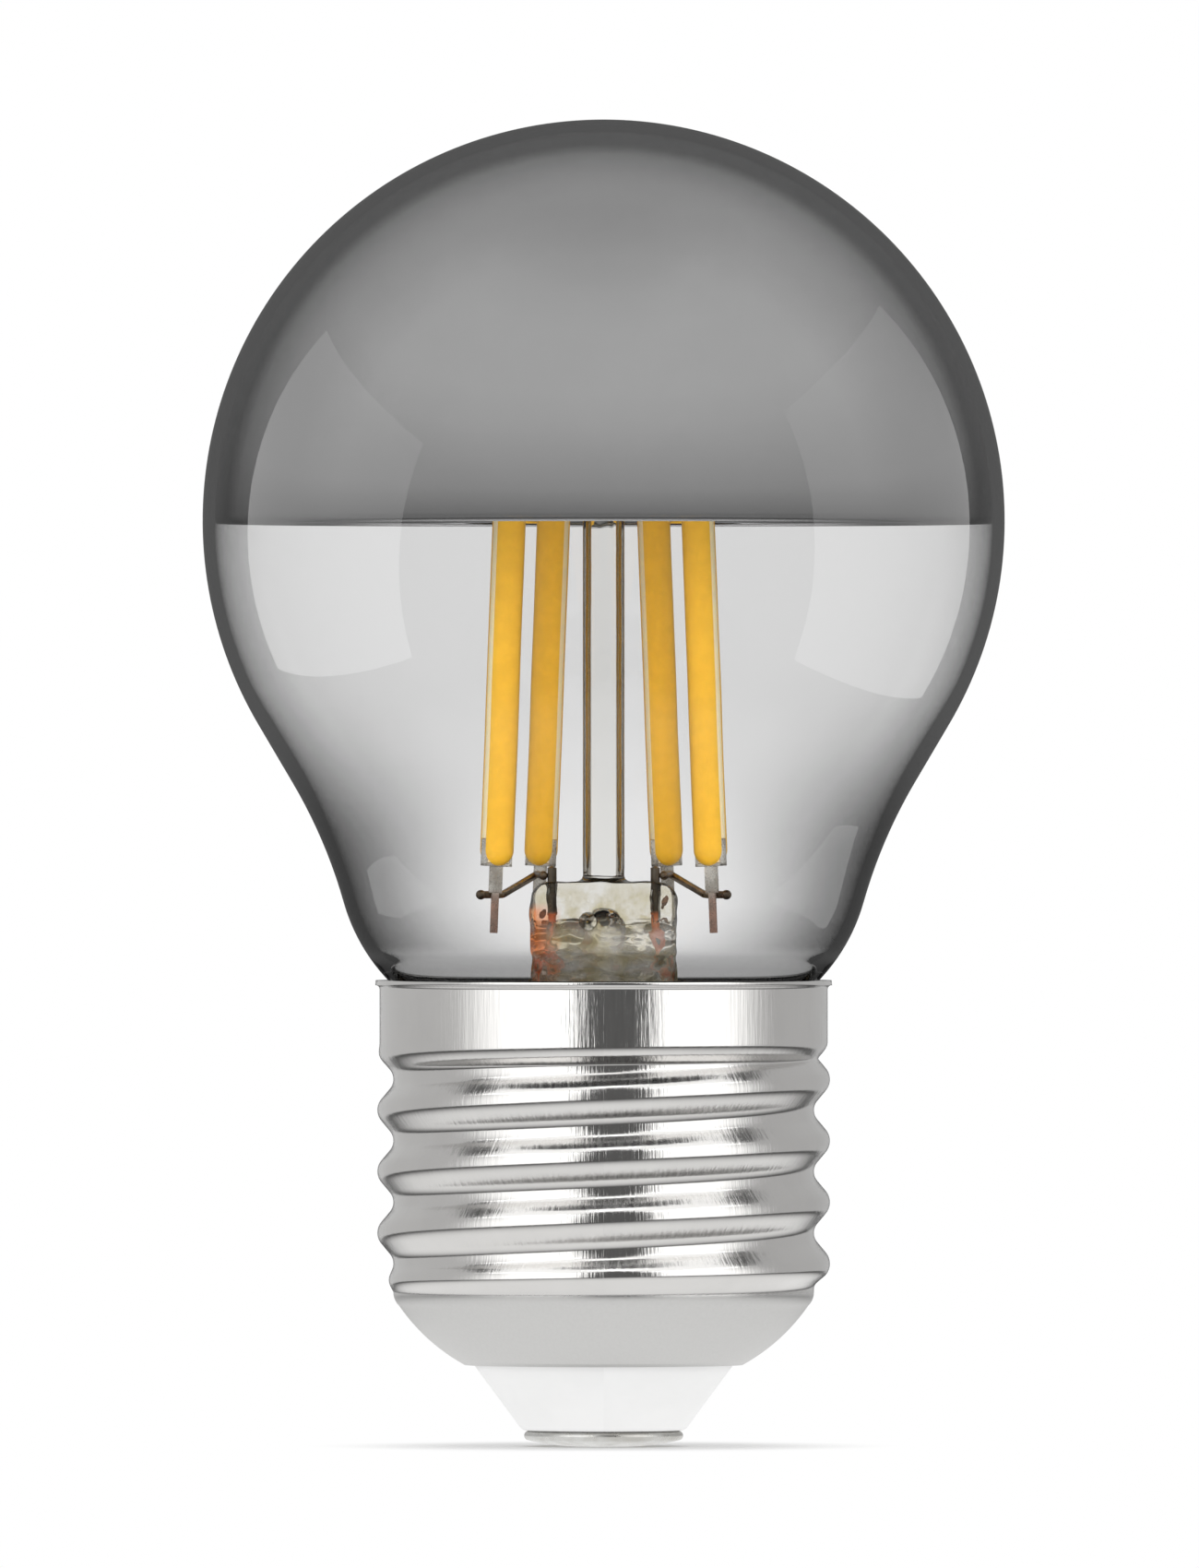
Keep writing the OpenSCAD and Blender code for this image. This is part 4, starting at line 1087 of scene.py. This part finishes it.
def build_clips(sizes):
    """Both end clips: arms with a fold, a bridge, a stepped tail with weld dents and a trimmed stub."""
    bm = bmesh.new()
    for top in (False, True):
        clip = bmesh.new()
        half_w, half_t = sizes.bead_w / 2, sizes.strip_t / 2
        edge = 0.03 * MM
        bridge = 0.18 * MM
        stub = sizes.head_stub_l if top else sizes.stub_l
        for side in (-1, 1):
            inner, outer = side * (half_w - sizes.clip_t), side * half_w
            low_x, high_x = sorted((inner, outer))
            plate(clip, (low_x, -half_t, 0), (high_x, half_t, sizes.clip_arm_l), edge)
            lug_x = side * (half_w - 0.06 * MM)
            dome(clip, (lug_x, 0, 0.5 * MM), (0.05 * MM, 0.17 * MM, 0.26 * MM))
            dome(clip, (lug_x, 0, 1.2 * MM), (0.05 * MM, 0.15 * MM, 0.2 * MM))
        plate(clip, (-half_w, -half_t, 0), (half_w, half_t, bridge), edge)
        half_c = sizes.clip_t / 2
        plate(
            clip,
            (-sizes.tail_w / 2, -half_c, -sizes.tail_l),
            (sizes.tail_w / 2, half_c, bridge),
            edge,
        )
        plate(
            clip,
            (-sizes.stub_w / 2, -half_c, -sizes.tail_l - stub),
            (sizes.stub_w / 2, half_c, -sizes.tail_l + 0.1 * MM),
            edge,
        )
        for side in (-1, 1):
            dome(
                clip,
                (0.12 * MM * side, half_c * side * 0.8, -sizes.tail_l * 0.5),
                (0.22 * MM, 0.05 * MM, 0.34 * MM),
            )
        if top:
            bmesh.ops.scale(clip, vec=(1, 1, -1), verts=clip.verts)
            bmesh.ops.translate(clip, vec=(0, 0, sizes.bead_l), verts=clip.verts)
        bmesh.ops.recalc_face_normals(clip, faces=clip.faces)
        scratch = bpy.data.meshes.new("clip")
        clip.to_mesh(scratch)
        clip.free()
        bm.from_mesh(scratch)
        bpy.data.meshes.remove(scratch)
    return bm


class BULB_OT_wires(Operator):
    """Bend the lead wires, the cross wires and the head wires"""

    bl_idname = "bulb.wires"
    bl_label = "Wires"

    def execute(self, context):
        scene = context.scene
        wires, filaments, finishes = scene.bulb_wires, scene.bulb_filaments, scene.bulb_finishes
        press_top = press_height(scene)
        copper_z = press_top - wires.nickel_depth
        metal = paint_wire(finishes, copper_z)
        joining = paint_metal(
            "joining_wire", (0.5, 0.4, 0.29), (0.3, 0.23, 0.17), 0.22, 0.45, 4200.0, (1, 1, 1)
        ).material
        places = {row: place_filament(filaments, row, press_top) for row in ROWS}
        for side in SIDES:
            lead = bmesh.new()
            low = Vector((-wires.lead_x, 0, wires.board_z - 0.6 * MM))
            middle = Vector((-wires.lead_x, 0, copper_z))
            top = Vector((-wires.lead_x, 0, press_top + wires.lead_rise))
            embed = 0.03 * MM
            sweep(lead, [low, low.lerp(middle, 0.5), middle], wires.dumet_d / 2 + embed)
            sweep(lead, [middle - Vector((0, 0, 0.15 * MM)), top], wires.lead_d / 2)
            dome(lead, middle, (0.3 * MM, 0.3 * MM, 0.26 * MM))
            if side == "right":
                bmesh.ops.scale(lead, vec=(-1, 1, 1), verts=lead.verts)
            bmesh.ops.recalc_face_normals(lead, faces=lead.faces)
            finish_piece(f"lead_{side}", lead, f"lead_wire_{side}", metal, 0.8)

            cross = bmesh.new()
            path = cross_path(wires, filaments, places, press_top)
            sweep(cross, rounded_path(path, 0.35 * MM), wires.joining_d / 2)
            dome(cross, path[0], (0.3 * MM, 0.3 * MM, 0.29 * MM))
            dome(cross, path[-1], (0.27 * MM, 0.25 * MM, 0.27 * MM))
            if side == "right":
                bmesh.ops.scale(cross, vec=(-1, 1, 1), verts=cross.verts)
            bmesh.ops.recalc_face_normals(cross, faces=cross.faces)
            finish_piece(f"cross_{side}", cross, f"cross_wire_{side}", joining, 0.8)

        rod_top = (
            press_top + filaments.bead_rise + filaments.bead_l + filaments.tail_l + wires.ball_rise
        )
        for row in ROWS:
            _, foot, head, yaw = places[row]
            behind = 1 if row == "front" else -1
            end = beside_tail(wires, filaments, head, foot, yaw, filaments.tail_l - 0.2 * MM, behind)
            middle = Vector((0, 0, rod_top + wires.ball_step * behind))
            bent = bmesh.new()
            path = [end, middle, Vector((-end.x, end.y, end.z))]
            sweep(bent, rounded_path(path, 0.5 * MM), wires.joining_d / 2)
            bmesh.ops.recalc_face_normals(bent, faces=bent.faces)
            finish_piece(f"head_{row}", bent, f"head_wire_{row}", joining, 0.8)
        return {"FINISHED"}


def beside_tail(wires, filaments, end, other_end, yaw, beyond, behind):
    reach = filaments.clip_t / 2 + wires.joining_d / 2 + wires.weld_t
    along = (end - other_end).normalized() * beyond
    return end + along + behind * reach * Vector((-math.sin(yaw), math.cos(yaw), 0))


def cross_path(wires, filaments, places, press_top):
    """From the front tail back to the rear tail, and forward to the lead wire."""
    _, front_foot, front_head, front_yaw = places["front"]
    _, rear_foot, rear_head, rear_yaw = places["rear"]
    run = 0.75 * MM
    front = beside_tail(
        wires, filaments, front_foot, front_head, front_yaw, filaments.tail_l + 0.1 * MM, 1
    )
    rear = beside_tail(wires, filaments, rear_foot, rear_head, rear_yaw, 0.5 * MM, -1)
    along = run * Vector((math.cos(front_yaw), math.sin(front_yaw), 0))
    wrap = wires.lead_d / 2 + wires.joining_d / 2 + 0.02 * MM
    lead = Vector((-wires.lead_x - wrap, 0, press_top + 0.35 * MM))
    return [front - along, front + along, rear, lead]


class BULB_OT_cap(Operator):
    """Roll the screw shell, mould its insulator and press its contact"""

    bl_idname = "bulb.cap"
    bl_label = "Screw cap"

    def execute(self, context):
        cap, finishes = context.scene.bulb_cap, context.scene.bulb_finishes
        shell = finish_piece(
            "rolled_shell", build_shell(cap), "cap_shell", paint_nickel(finishes, cap)
        )
        add_wall(shell, cap.sheet_t)
        insulator = finish_piece(
            "white_insulator",
            build_insulator(cap),
            "cap_insulator",
            paint_insulator(finishes),
            0.7,
        )
        contact_paint = paint_metal(
            "contact_metal", (0.62, 0.62, 0.6), (0.5, 0.49, 0.46), 0.22, 0.42, 2200.0, depth=0.00002
        )
        finish_piece(
            "domed_contact",
            build_contact(cap),
            "centre_contact",
            contact_paint.material,
            0.7,
        )
        return {"FINISHED"}


def thread_root(cap):
    crest_end = cap.crest_fillet * math.sin(cap.flank)
    root_start = cap.pitch / 2 - cap.root_fillet * math.sin(cap.flank)
    drop = (root_start - crest_end) * math.tan(cap.flank)
    root_r = cap.crest_r - (cap.crest_fillet + cap.root_fillet) * (1 - math.cos(cap.flank)) - drop
    return crest_end, root_start, root_r


def thread_radius(cap, z, turn):
    """Radius of the rolled sheet at a height and a turn about the axis."""
    crest_end, root_start, root_r = thread_root(cap)
    turns = (z - cap.thread_low) / cap.pitch - (turn + cap.turn) / TURN
    away = abs(turns - round(turns)) * cap.pitch
    if away < crest_end:
        fall = cap.crest_fillet - math.sqrt(cap.crest_fillet**2 - away**2)
    elif away < root_start:
        fall = cap.crest_fillet * (1 - math.cos(cap.flank)) + (away - crest_end) * math.tan(cap.flank)
    else:
        rest = max(0, cap.root_fillet**2 - (cap.pitch / 2 - away) ** 2)
        fall = cap.crest_r - root_r - cap.root_fillet + math.sqrt(rest)
    low = root_r + (cap.crest_r - fall - root_r) * smooth_step((z - cap.thread_low) / cap.fade)
    return cap.skirt_r + (low - cap.skirt_r) * smooth_step((cap.thread_high - z) / cap.fade)


def bowl_points(cap):
    """Middle of the bend over the bowl, and the bowl's lower edge."""
    root_r = thread_root(cap)[2]
    bend = (root_r - cap.bend_r, cap.thread_low)
    start = (bend[0] + cap.bend_r * math.cos(cap.bowl), bend[1] - cap.bend_r * math.sin(cap.bowl))
    mouth = (cap.mouth_r, start[1] - (start[0] - cap.mouth_r) / math.tan(cap.bowl))
    return bend, start, mouth


def build_shell(cap):
    """One spun sheet from the bowl's mouth up to the lip, then the thread rolled into it."""
    bend, start, mouth = bowl_points(cap)
    rows = math.ceil((cap.thread_high - cap.thread_low) / cap.pitch * cap.rows_per_pitch)
    root_r = thread_root(cap)[2]
    lip = (cap.skirt_r + cap.lip_curve_r, cap.skirt_top)
    lip_turn = math.acos(1 - (cap.lip_r - cap.skirt_r) / cap.lip_curve_r)
    slant = Vector((start[0] - mouth[0], start[1] - mouth[1])).normalized()
    side = [
        (r + slant.y * cap.bulge * 4 * (i / 12) * (1 - i / 12), z - slant.x * cap.bulge * 4 * (i / 12) * (1 - i / 12))
        for i, (r, z) in enumerate(line(mouth, start, 12))
    ]
    outline = [
        *side,
        *arc(bend, cap.bend_r, -cap.bowl, 0, 10)[:-1],
        *line((root_r, cap.thread_low), (root_r, cap.thread_high), rows),
        *line((cap.skirt_r, cap.thread_high), (cap.skirt_r, cap.skirt_top), 6),
        *arc(lip, cap.lip_curve_r, math.pi, math.pi - lip_turn, 12),
    ]
    bm = revolve(outline, cap.columns)
    for vertex in bm.verts:
        place = vertex.co
        if cap.thread_low < place.z < cap.thread_high:
            turn = math.atan2(place.y, place.x)
            scale = thread_radius(cap, place.z, turn) / math.hypot(place.x, place.y)
            place.x *= scale
            place.y *= scale
    bmesh.ops.recalc_face_normals(bm, faces=bm.faces)
    return bm


def bowl_inside(cap, z):
    mouth = bowl_points(cap)[2]
    return mouth[0] + (z - mouth[1]) * math.tan(cap.bowl) - cap.sheet_t / math.cos(cap.bowl)


def build_insulator(cap):
    mouth_z = bowl_points(cap)[2][1]
    gap = 0.02 * MM
    nose_r = 0.5 * MM
    nose = (cap.contact_r - nose_r + 0.35 * MM, cap.contact_h + nose_r)
    step_z = mouth_z + cap.sheet_t * math.sin(cap.bowl)
    waist = bowl_inside(cap, step_z) - gap
    top_z = mouth_z + cap.plug_h
    rim = arc(nose, nose_r, -math.pi / 2, -cap.cone, 10)
    outline = [
        (cap.shank_r + gap, cap.contact_h),
        *line((cap.shank_r + gap, cap.contact_h), rim[0], 2)[1:],
        *rim,
        *line(rim[-1], (waist, mouth_z), 6)[1:],
        (waist, mouth_z),
        (waist, step_z),
        (bowl_inside(cap, top_z) - gap, top_z),
        (cap.shank_r + gap, top_z),
    ]
    return revolve(outline, 160, closed=True)


def build_contact(cap):
    """Domed head with a rolled edge and a flat land, on a hollow shank."""
    gap = 0.02 * MM
    top_z = bowl_points(cap)[2][1] + cap.plug_h
    shank_top = top_z + 0.5 * MM
    wire_r = 0.37 * MM
    roof = cap.contact_h + 0.35 * MM
    edge_r = 0.28 * MM
    edge = (cap.contact_r - edge_r, cap.contact_h - gap - edge_r)
    rim = arc(edge, edge_r, -math.radians(62), math.radians(80), 8)
    start = (cap.land_r, 0)
    dome_line = [
        (
            start[0] + (rim[0][0] - start[0]) * t,
            rim[0][1] * (0.35 * t + 0.65 * t * t),
        )
        for t in (i / 8 for i in range(8))
    ]
    outline = [
        (0, 0),
        (cap.land_r * 0.5, 0),
        *dome_line,
        *rim,
        (cap.contact_r - edge_r, cap.contact_h - gap),
        (cap.shank_r, cap.contact_h - gap),
        (cap.shank_r, top_z + gap),
        (cap.shank_r + 0.3 * MM, top_z + gap),
        (cap.shank_r, shank_top),
        (wire_r, shank_top),
        (wire_r, roof),
        (0, roof),
    ]
    return revolve(outline, 120)


class BULB_OT_driver(Operator):
    """Paint the hidden driver, the cement and the wires inside the cap"""

    bl_idname = "bulb.driver"
    bl_label = "Driver and cement"

    def execute(self, context):
        tin = (0.7, 0.7, 0.68)
        boxes = {name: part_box(name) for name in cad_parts}
        paints = {
            "basing_cement": paint_solid(
                "cement", (0.62, 0.56, 0.45), (0.5, 0.44, 0.34), 0.75, 0.95, 2500.0, 0.00008
            ).material,
            "driver_board": paint_solid(
                "board",
                (0.02, 0.14, 0.05),
                (0.015, 0.1, 0.04),
                0.28,
                0.42,
                3000.0,
                0.00001,
                Coat_Weight=0.5,
                Coat_Roughness=0.2,
            ).material,
            "smoothing_capacitor": paint_solid(
                "capacitor_sleeve", (0.02, 0.025, 0.07), (0.03, 0.035, 0.09), 0.2, 0.35, 1500.0, 0.00001
            ).material,
            "fusible_resistor": paint_component(
                "resistor_coat",
                (0.12, 0.35, 0.55),
                tin,
                boxes["fusible_resistor"],
                0,
                0.0031,
                0.3,
                0.5,
                1800.0,
            ),
            "bridge_rectifier": paint_component(
                "rectifier_body", (0.03, 0.03, 0.032), tin, boxes["bridge_rectifier"], 1, 0.00196, 0.4, 0.6, 4000.0
            ),
            "driver_chip": paint_component(
                "chip_plastic", (0.035, 0.035, 0.037), tin, boxes["driver_chip"], 1, 0.00196, 0.4, 0.6, 4000.0
            ),
            "chip_resistors": paint_solid(
                "chip_resistor_body", (0.04, 0.04, 0.045), (0.06, 0.06, 0.06), 0.3, 0.5, 3000.0, 0.00001
            ).material,
            "solder_joints": paint_metal(
                "solder", (0.72, 0.72, 0.72), (0.6, 0.6, 0.6), 0.2, 0.35, 1500.0
            ).material,
            "live_wire": paint_solid(
                "live_jacket", (0.5, 0.03, 0.02), (0.42, 0.03, 0.02), 0.4, 0.55, 2500.0, 0.00001
            ).material,
            "side_wire": paint_solid(
                "side_jacket", (0.03, 0.03, 0.03), (0.05, 0.05, 0.05), 0.4, 0.55, 2500.0, 0.00001
            ).material,
        }
        for name, material in paints.items():
            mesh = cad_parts[name].data
            for i in range(len(mesh.materials)):
                mesh.materials[i] = material
            if not mesh.materials:
                mesh.materials.append(material)
        return {"FINISHED"}


class BULB_OT_stage(Operator):
    """Set up the floor, the camera, the room and the softboxes"""

    bl_idname = "bulb.stage"
    bl_label = "Stage"

    def execute(self, context):
        settings = context.scene.bulb_stage
        build_floor()
        build_room(settings)
        build_camera(settings)
        build_lamps(settings, globe_line(context.scene.bulb_glass, context.scene.bulb_cap)[1])
        context.scene.view_settings.view_transform = "Standard"
        return {"FINISHED"}


def build_floor():
    bm = bmesh.new()
    bmesh.ops.create_circle(bm, cap_ends=True, segments=96, radius=0.08)
    mesh = bpy.data.meshes.new("floor")
    bm.to_mesh(mesh)
    bm.free()
    floor = bpy.data.objects.new("floor", mesh)
    bpy.context.scene.collection.objects.link(floor)
    floor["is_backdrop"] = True
    paint = Paint("pale_floor", Roughness=0.8)
    paint.shader.inputs["Specular IOR Level"].default_value = 0.1
    tree = paint.tree
    drift = paint.group("tone_drift", Scale=12.0, First=(0.93, 0.93, 0.93, 1), Second=(0.91, 0.91, 0.91, 1))
    paint.feed(drift.outputs["Color"], "Base Color")
    distance = paint.round_place(0.1)[2]
    far = remap(tree, distance, 0.006, 0.018)
    path = add_node(tree, "ShaderNodeLightPath")
    hidden = sums(tree, "SUBTRACT", 1.0, path.outputs["Is Camera Ray"])
    white = add_node(tree, "ShaderNodeEmission", {"Color": (1, 1, 1, 1)})
    mirrored = sums(tree, "GREATER_THAN", path.outputs["Glossy Depth"], 0.5)
    faded = remap(tree, distance, 0.018, 0.065, 0.0, 0.9)
    tree.links.new(sums(tree, "SUBTRACT", 1.0, sums(tree, "MULTIPLY", mirrored, faded)), white.inputs["Strength"])
    mix = add_node(tree, "ShaderNodeMixShader")
    tree.links.new(sums(tree, "MAXIMUM", far, hidden), mix.inputs[0])
    tree.links.new(paint.shader.outputs[0], mix.inputs[1])
    tree.links.new(white.outputs[0], mix.inputs[2])
    under = add_node(tree, "ShaderNodeMixShader")
    side = add_node(tree, "ShaderNodeNewGeometry")
    clear = add_node(tree, "ShaderNodeBsdfTransparent")
    tree.links.new(side.outputs["Backfacing"], under.inputs[0])
    tree.links.new(mix.outputs[0], under.inputs[1])
    tree.links.new(clear.outputs[0], under.inputs[2])
    tree.links.new(under.outputs[0], paint.output.inputs["Surface"])
    mesh.materials.append(paint.material)


def build_room(settings):
    """White backdrop for the camera and clear glass, and a soft ceiling that the metal sees."""
    world = bpy.data.worlds.new("room")
    bpy.context.scene.world = world
    world.use_nodes = True
    world.cycles.sampling_method = "NONE"
    tree = world.node_tree
    background = tree.nodes["Background"]
    background.inputs["Color"].default_value = (1, 1, 1, 1)
    path = add_node(tree, "ShaderNodeLightPath")
    direction = add_node(tree, "ShaderNodeTexCoord")
    parts = add_node(tree, "ShaderNodeSeparateXYZ")
    tree.links.new(direction.outputs["Generated"], parts.inputs[0])
    ceiling = add_node(tree, "ShaderNodeValToRGB")
    levels = ((0, 0.19), (0.15, 0.35), (0.3, 0.42), (0.46, 0.495), (0.6, 0.54), (0.84, 0.55), (0.93, 0.525), (1, 0.46))
    set_stops(ceiling.color_ramp, levels)
    tree.links.new(parts.outputs[2], ceiling.inputs[0])
    reflected = sums(tree, "GREATER_THAN", path.outputs["Glossy Depth"], 0.5)
    direct = sums(tree, "MULTIPLY", path.outputs["Is Transmission Ray"], sums(tree, "SUBTRACT", 1.0, reflected))
    behind_glass = sums(tree, "GREATER_THAN", path.outputs["Transmission Depth"], 2.5)
    mirrored = add_node(tree, "ShaderNodeMix", {2: settings.surround}, data_type="FLOAT")
    tree.links.new(behind_glass, mirrored.inputs[0])
    tree.links.new(ceiling.outputs[0], mirrored.inputs[3])
    seen = sums(tree, "MAXIMUM", path.outputs["Is Camera Ray"], direct)
    room = add_node(tree, "ShaderNodeMix", {2: settings.room}, data_type="FLOAT")
    tree.links.new(reflected, room.inputs[0])
    tree.links.new(mirrored.outputs[0], room.inputs[3])
    level = add_node(tree, "ShaderNodeMix", {3: 1.0}, data_type="FLOAT")
    tree.links.new(seen, level.inputs[0])
    tree.links.new(room.outputs[0], level.inputs[2])
    tree.links.new(level.outputs[0], background.inputs["Strength"])


def build_camera(settings):
    data = bpy.data.cameras.new("camera")
    data.sensor_width = 36
    data.lens = data.sensor_width * settings.distance / settings.frame_h
    data.clip_start = 0.01
    data.clip_end = 100
    camera = bpy.data.objects.new("camera", data)
    camera.location = (settings.middle_x, -settings.distance, settings.middle_z)
    camera.rotation_euler = (math.pi / 2, 0, 0)
    bpy.context.scene.collection.objects.link(camera)
    bpy.context.scene.camera = camera


def add_softbox(name, place, target, width, height, level, lit=None, shine=True, roll=0, fade=None):
    """Area lamp that faces a point. level is its brightness, and lit names the pieces that it reaches."""
    lamp = bpy.data.lights.new(name, "AREA")
    lamp.shape = "RECTANGLE"
    lamp.size = width
    lamp.size_y = height
    lamp.energy = level * math.pi * width * height
    box = bpy.data.objects.new(name, lamp)
    place, target = Vector(place), Vector(target)
    box.location = place
    turned = (target - place).to_track_quat("-Z", "Y") @ Quaternion((0, 0, 1), math.radians(roll))
    box.rotation_euler = turned.to_euler()
    if fade:
        axis, low, high, weakest = fade
        lamp.use_nodes = True
        tree = lamp.node_tree
        across = add_node(tree, "ShaderNodeSeparateXYZ")
        tree.links.new(add_node(tree, "ShaderNodeNewGeometry").outputs["Parametric"], across.inputs[0])
        level = remap(tree, across.outputs[axis], low, high, weakest, 1.0)
        tree.links.new(level, tree.nodes["Emission"].inputs["Strength"])
    box.visible_camera = False
    box.visible_transmission = False
    box.visible_glossy = shine
    bpy.context.scene.collection.objects.link(box)
    if lit:
        group = bpy.data.collections.new(f"{name}_reaches")
        for piece in lit:
            group.objects.link(bpy.data.objects[piece])
        box.light_linking.receiver_collection = group
    return box


def build_lamps(settings, globe_z):
    away = settings.lamp_distance
    glass = ["blown_glass"]
    add_softbox(
        "left_panel",
        (-away, 0, globe_z - 0.015 * away),
        (0, 0, globe_z - 0.015 * away),
        1.2 * away,
        1.17 * away,
        settings.panel_level,
        glass,
        roll=-13,
        fade=(1, 1.0, 0.5, 0.4),
    )
    add_softbox(
        "right_panel",
        (away, 0.115 * away, globe_z + 0.025 * away),
        (0, 0.115 * away, globe_z + 0.025 * away),
        1.33 * away,
        1.35 * away,
        settings.panel_level * 0.85,
        glass,
        roll=8,
        fade=(1, 1.0, 0.45, 0.3),
    )
    cap_z = 0.018
    metal = ["rolled_shell", "domed_contact"]
    cap_lights = (
        ("left_cap_light", -49, 0, 36.5, 1.6, settings.cap_level, (0, 0.0, 0.55, 0.3)),
        ("right_cap_light", 58, 0, 33, 1.6, settings.cap_level, (0, 1.0, 0.55, 0.3)),
        ("left_side_light", -127, 0, 42, 1.6, settings.side_level, None),
        ("right_side_light", 130, 0, 40, 1.6, settings.side_level * 0.85, None),
        ("left_high_light", -50, 62, 24, 0.75, settings.cap_level * 0.8, None),
        ("right_high_light", 55, 62, 24, 0.75, settings.cap_level * 0.8, None),
    )
    for name, turn, rise, half, tall, level, fade in cap_lights:
        turn, rise = math.radians(turn), math.radians(rise)
        target = Vector((0, 0, cap_z + (0.3 * away if rise == 0 else 0)))
        way = Vector((math.sin(turn) * math.cos(rise), -math.cos(turn) * math.cos(rise), math.sin(rise)))
        add_softbox(
            name,
            target + away * way,
            target,
            2 * away * math.tan(math.radians(half)),
            tall * away,
            level,
            metal,
            fade=fade,
        )
    names = [p.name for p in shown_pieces()]
    matt = [n for n in names if any(k in n for k in ("beads", "carrier", "clips", "lead", "cross", "melted"))]
    bright = [n for n in names if any(k in n for k in ("clips", "lead", "cross"))]
    for name, side in (("front_fill", -1), ("rear_fill", 1)):
        add_softbox(
            name,
            (0, side * away, 0.05),
            (0, 0, 0.05),
            0.8 * away,
            0.8 * away,
            settings.fill_level,
            matt,
            shine=False,
        )
    for name, side in (("left_clip_light", -1), ("right_clip_light", 1)):
        place = (side * 0.8 * away, -0.6 * away, 0.08)
        add_softbox(name, place, (0, 0, 0.04), 0.8 * away, 0.6 * away, 1.6, bright)
    for name, side in (("left_glint", -1), ("right_glint", 1)):
        add_softbox(
            name,
            (side * 0.6 * away, -0.8 * away, 0.2),
            (0, 0, 0.035),
            0.12 * away,
            0.5 * away,
            6.0,
            ["melted_stem"],
        )
    add_softbox(
        "overhead", (0, -0.15, 0.55), (0, 0, 0.03), 0.6, 0.6, settings.top_level, shine=False
    )


class BULB_PT_pieces(Panel):
    bl_label = "Silver crown bulb"
    bl_space_type = "VIEW_3D"
    bl_region_type = "UI"
    bl_category = "Bulb"

    def draw(self, context):
        for operator in OPERATORS:
            self.layout.operator(operator.bl_idname)


OPERATORS = (
    BULB_OT_envelope,
    BULB_OT_stem,
    BULB_OT_filaments,
    BULB_OT_wires,
    BULB_OT_cap,
    BULB_OT_driver,
    BULB_OT_stage,
)
SETTINGS = {
    "bulb_glass": GlassSizes,
    "bulb_stem": StemSizes,
    "bulb_filaments": FilamentSizes,
    "bulb_wires": WireSizes,
    "bulb_cap": CapSizes,
    "bulb_finishes": Finishes,
    "bulb_stage": StageSettings,
}


def register():
    for group in SETTINGS.values():
        bpy.utils.register_class(group)
    for name, group in SETTINGS.items():
        setattr(bpy.types.Scene, name, PointerProperty(type=group))
    for operator in OPERATORS:
        bpy.utils.register_class(operator)
    bpy.utils.register_class(BULB_PT_pieces)


def unregister():
    bpy.utils.unregister_class(BULB_PT_pieces)
    for operator in reversed(OPERATORS):
        bpy.utils.unregister_class(operator)
    for name in SETTINGS:
        delattr(bpy.types.Scene, name)
    for group in reversed(SETTINGS.values()):
        bpy.utils.unregister_class(group)


def main():
    register()
    bpy.ops.bulb.envelope()
    bpy.ops.bulb.stem()
    bpy.ops.bulb.filaments()
    bpy.ops.bulb.wires()
    bpy.ops.bulb.cap()
    bpy.ops.bulb.driver()
    bpy.ops.bulb.stage()


if __name__ == "__main__":
    main()
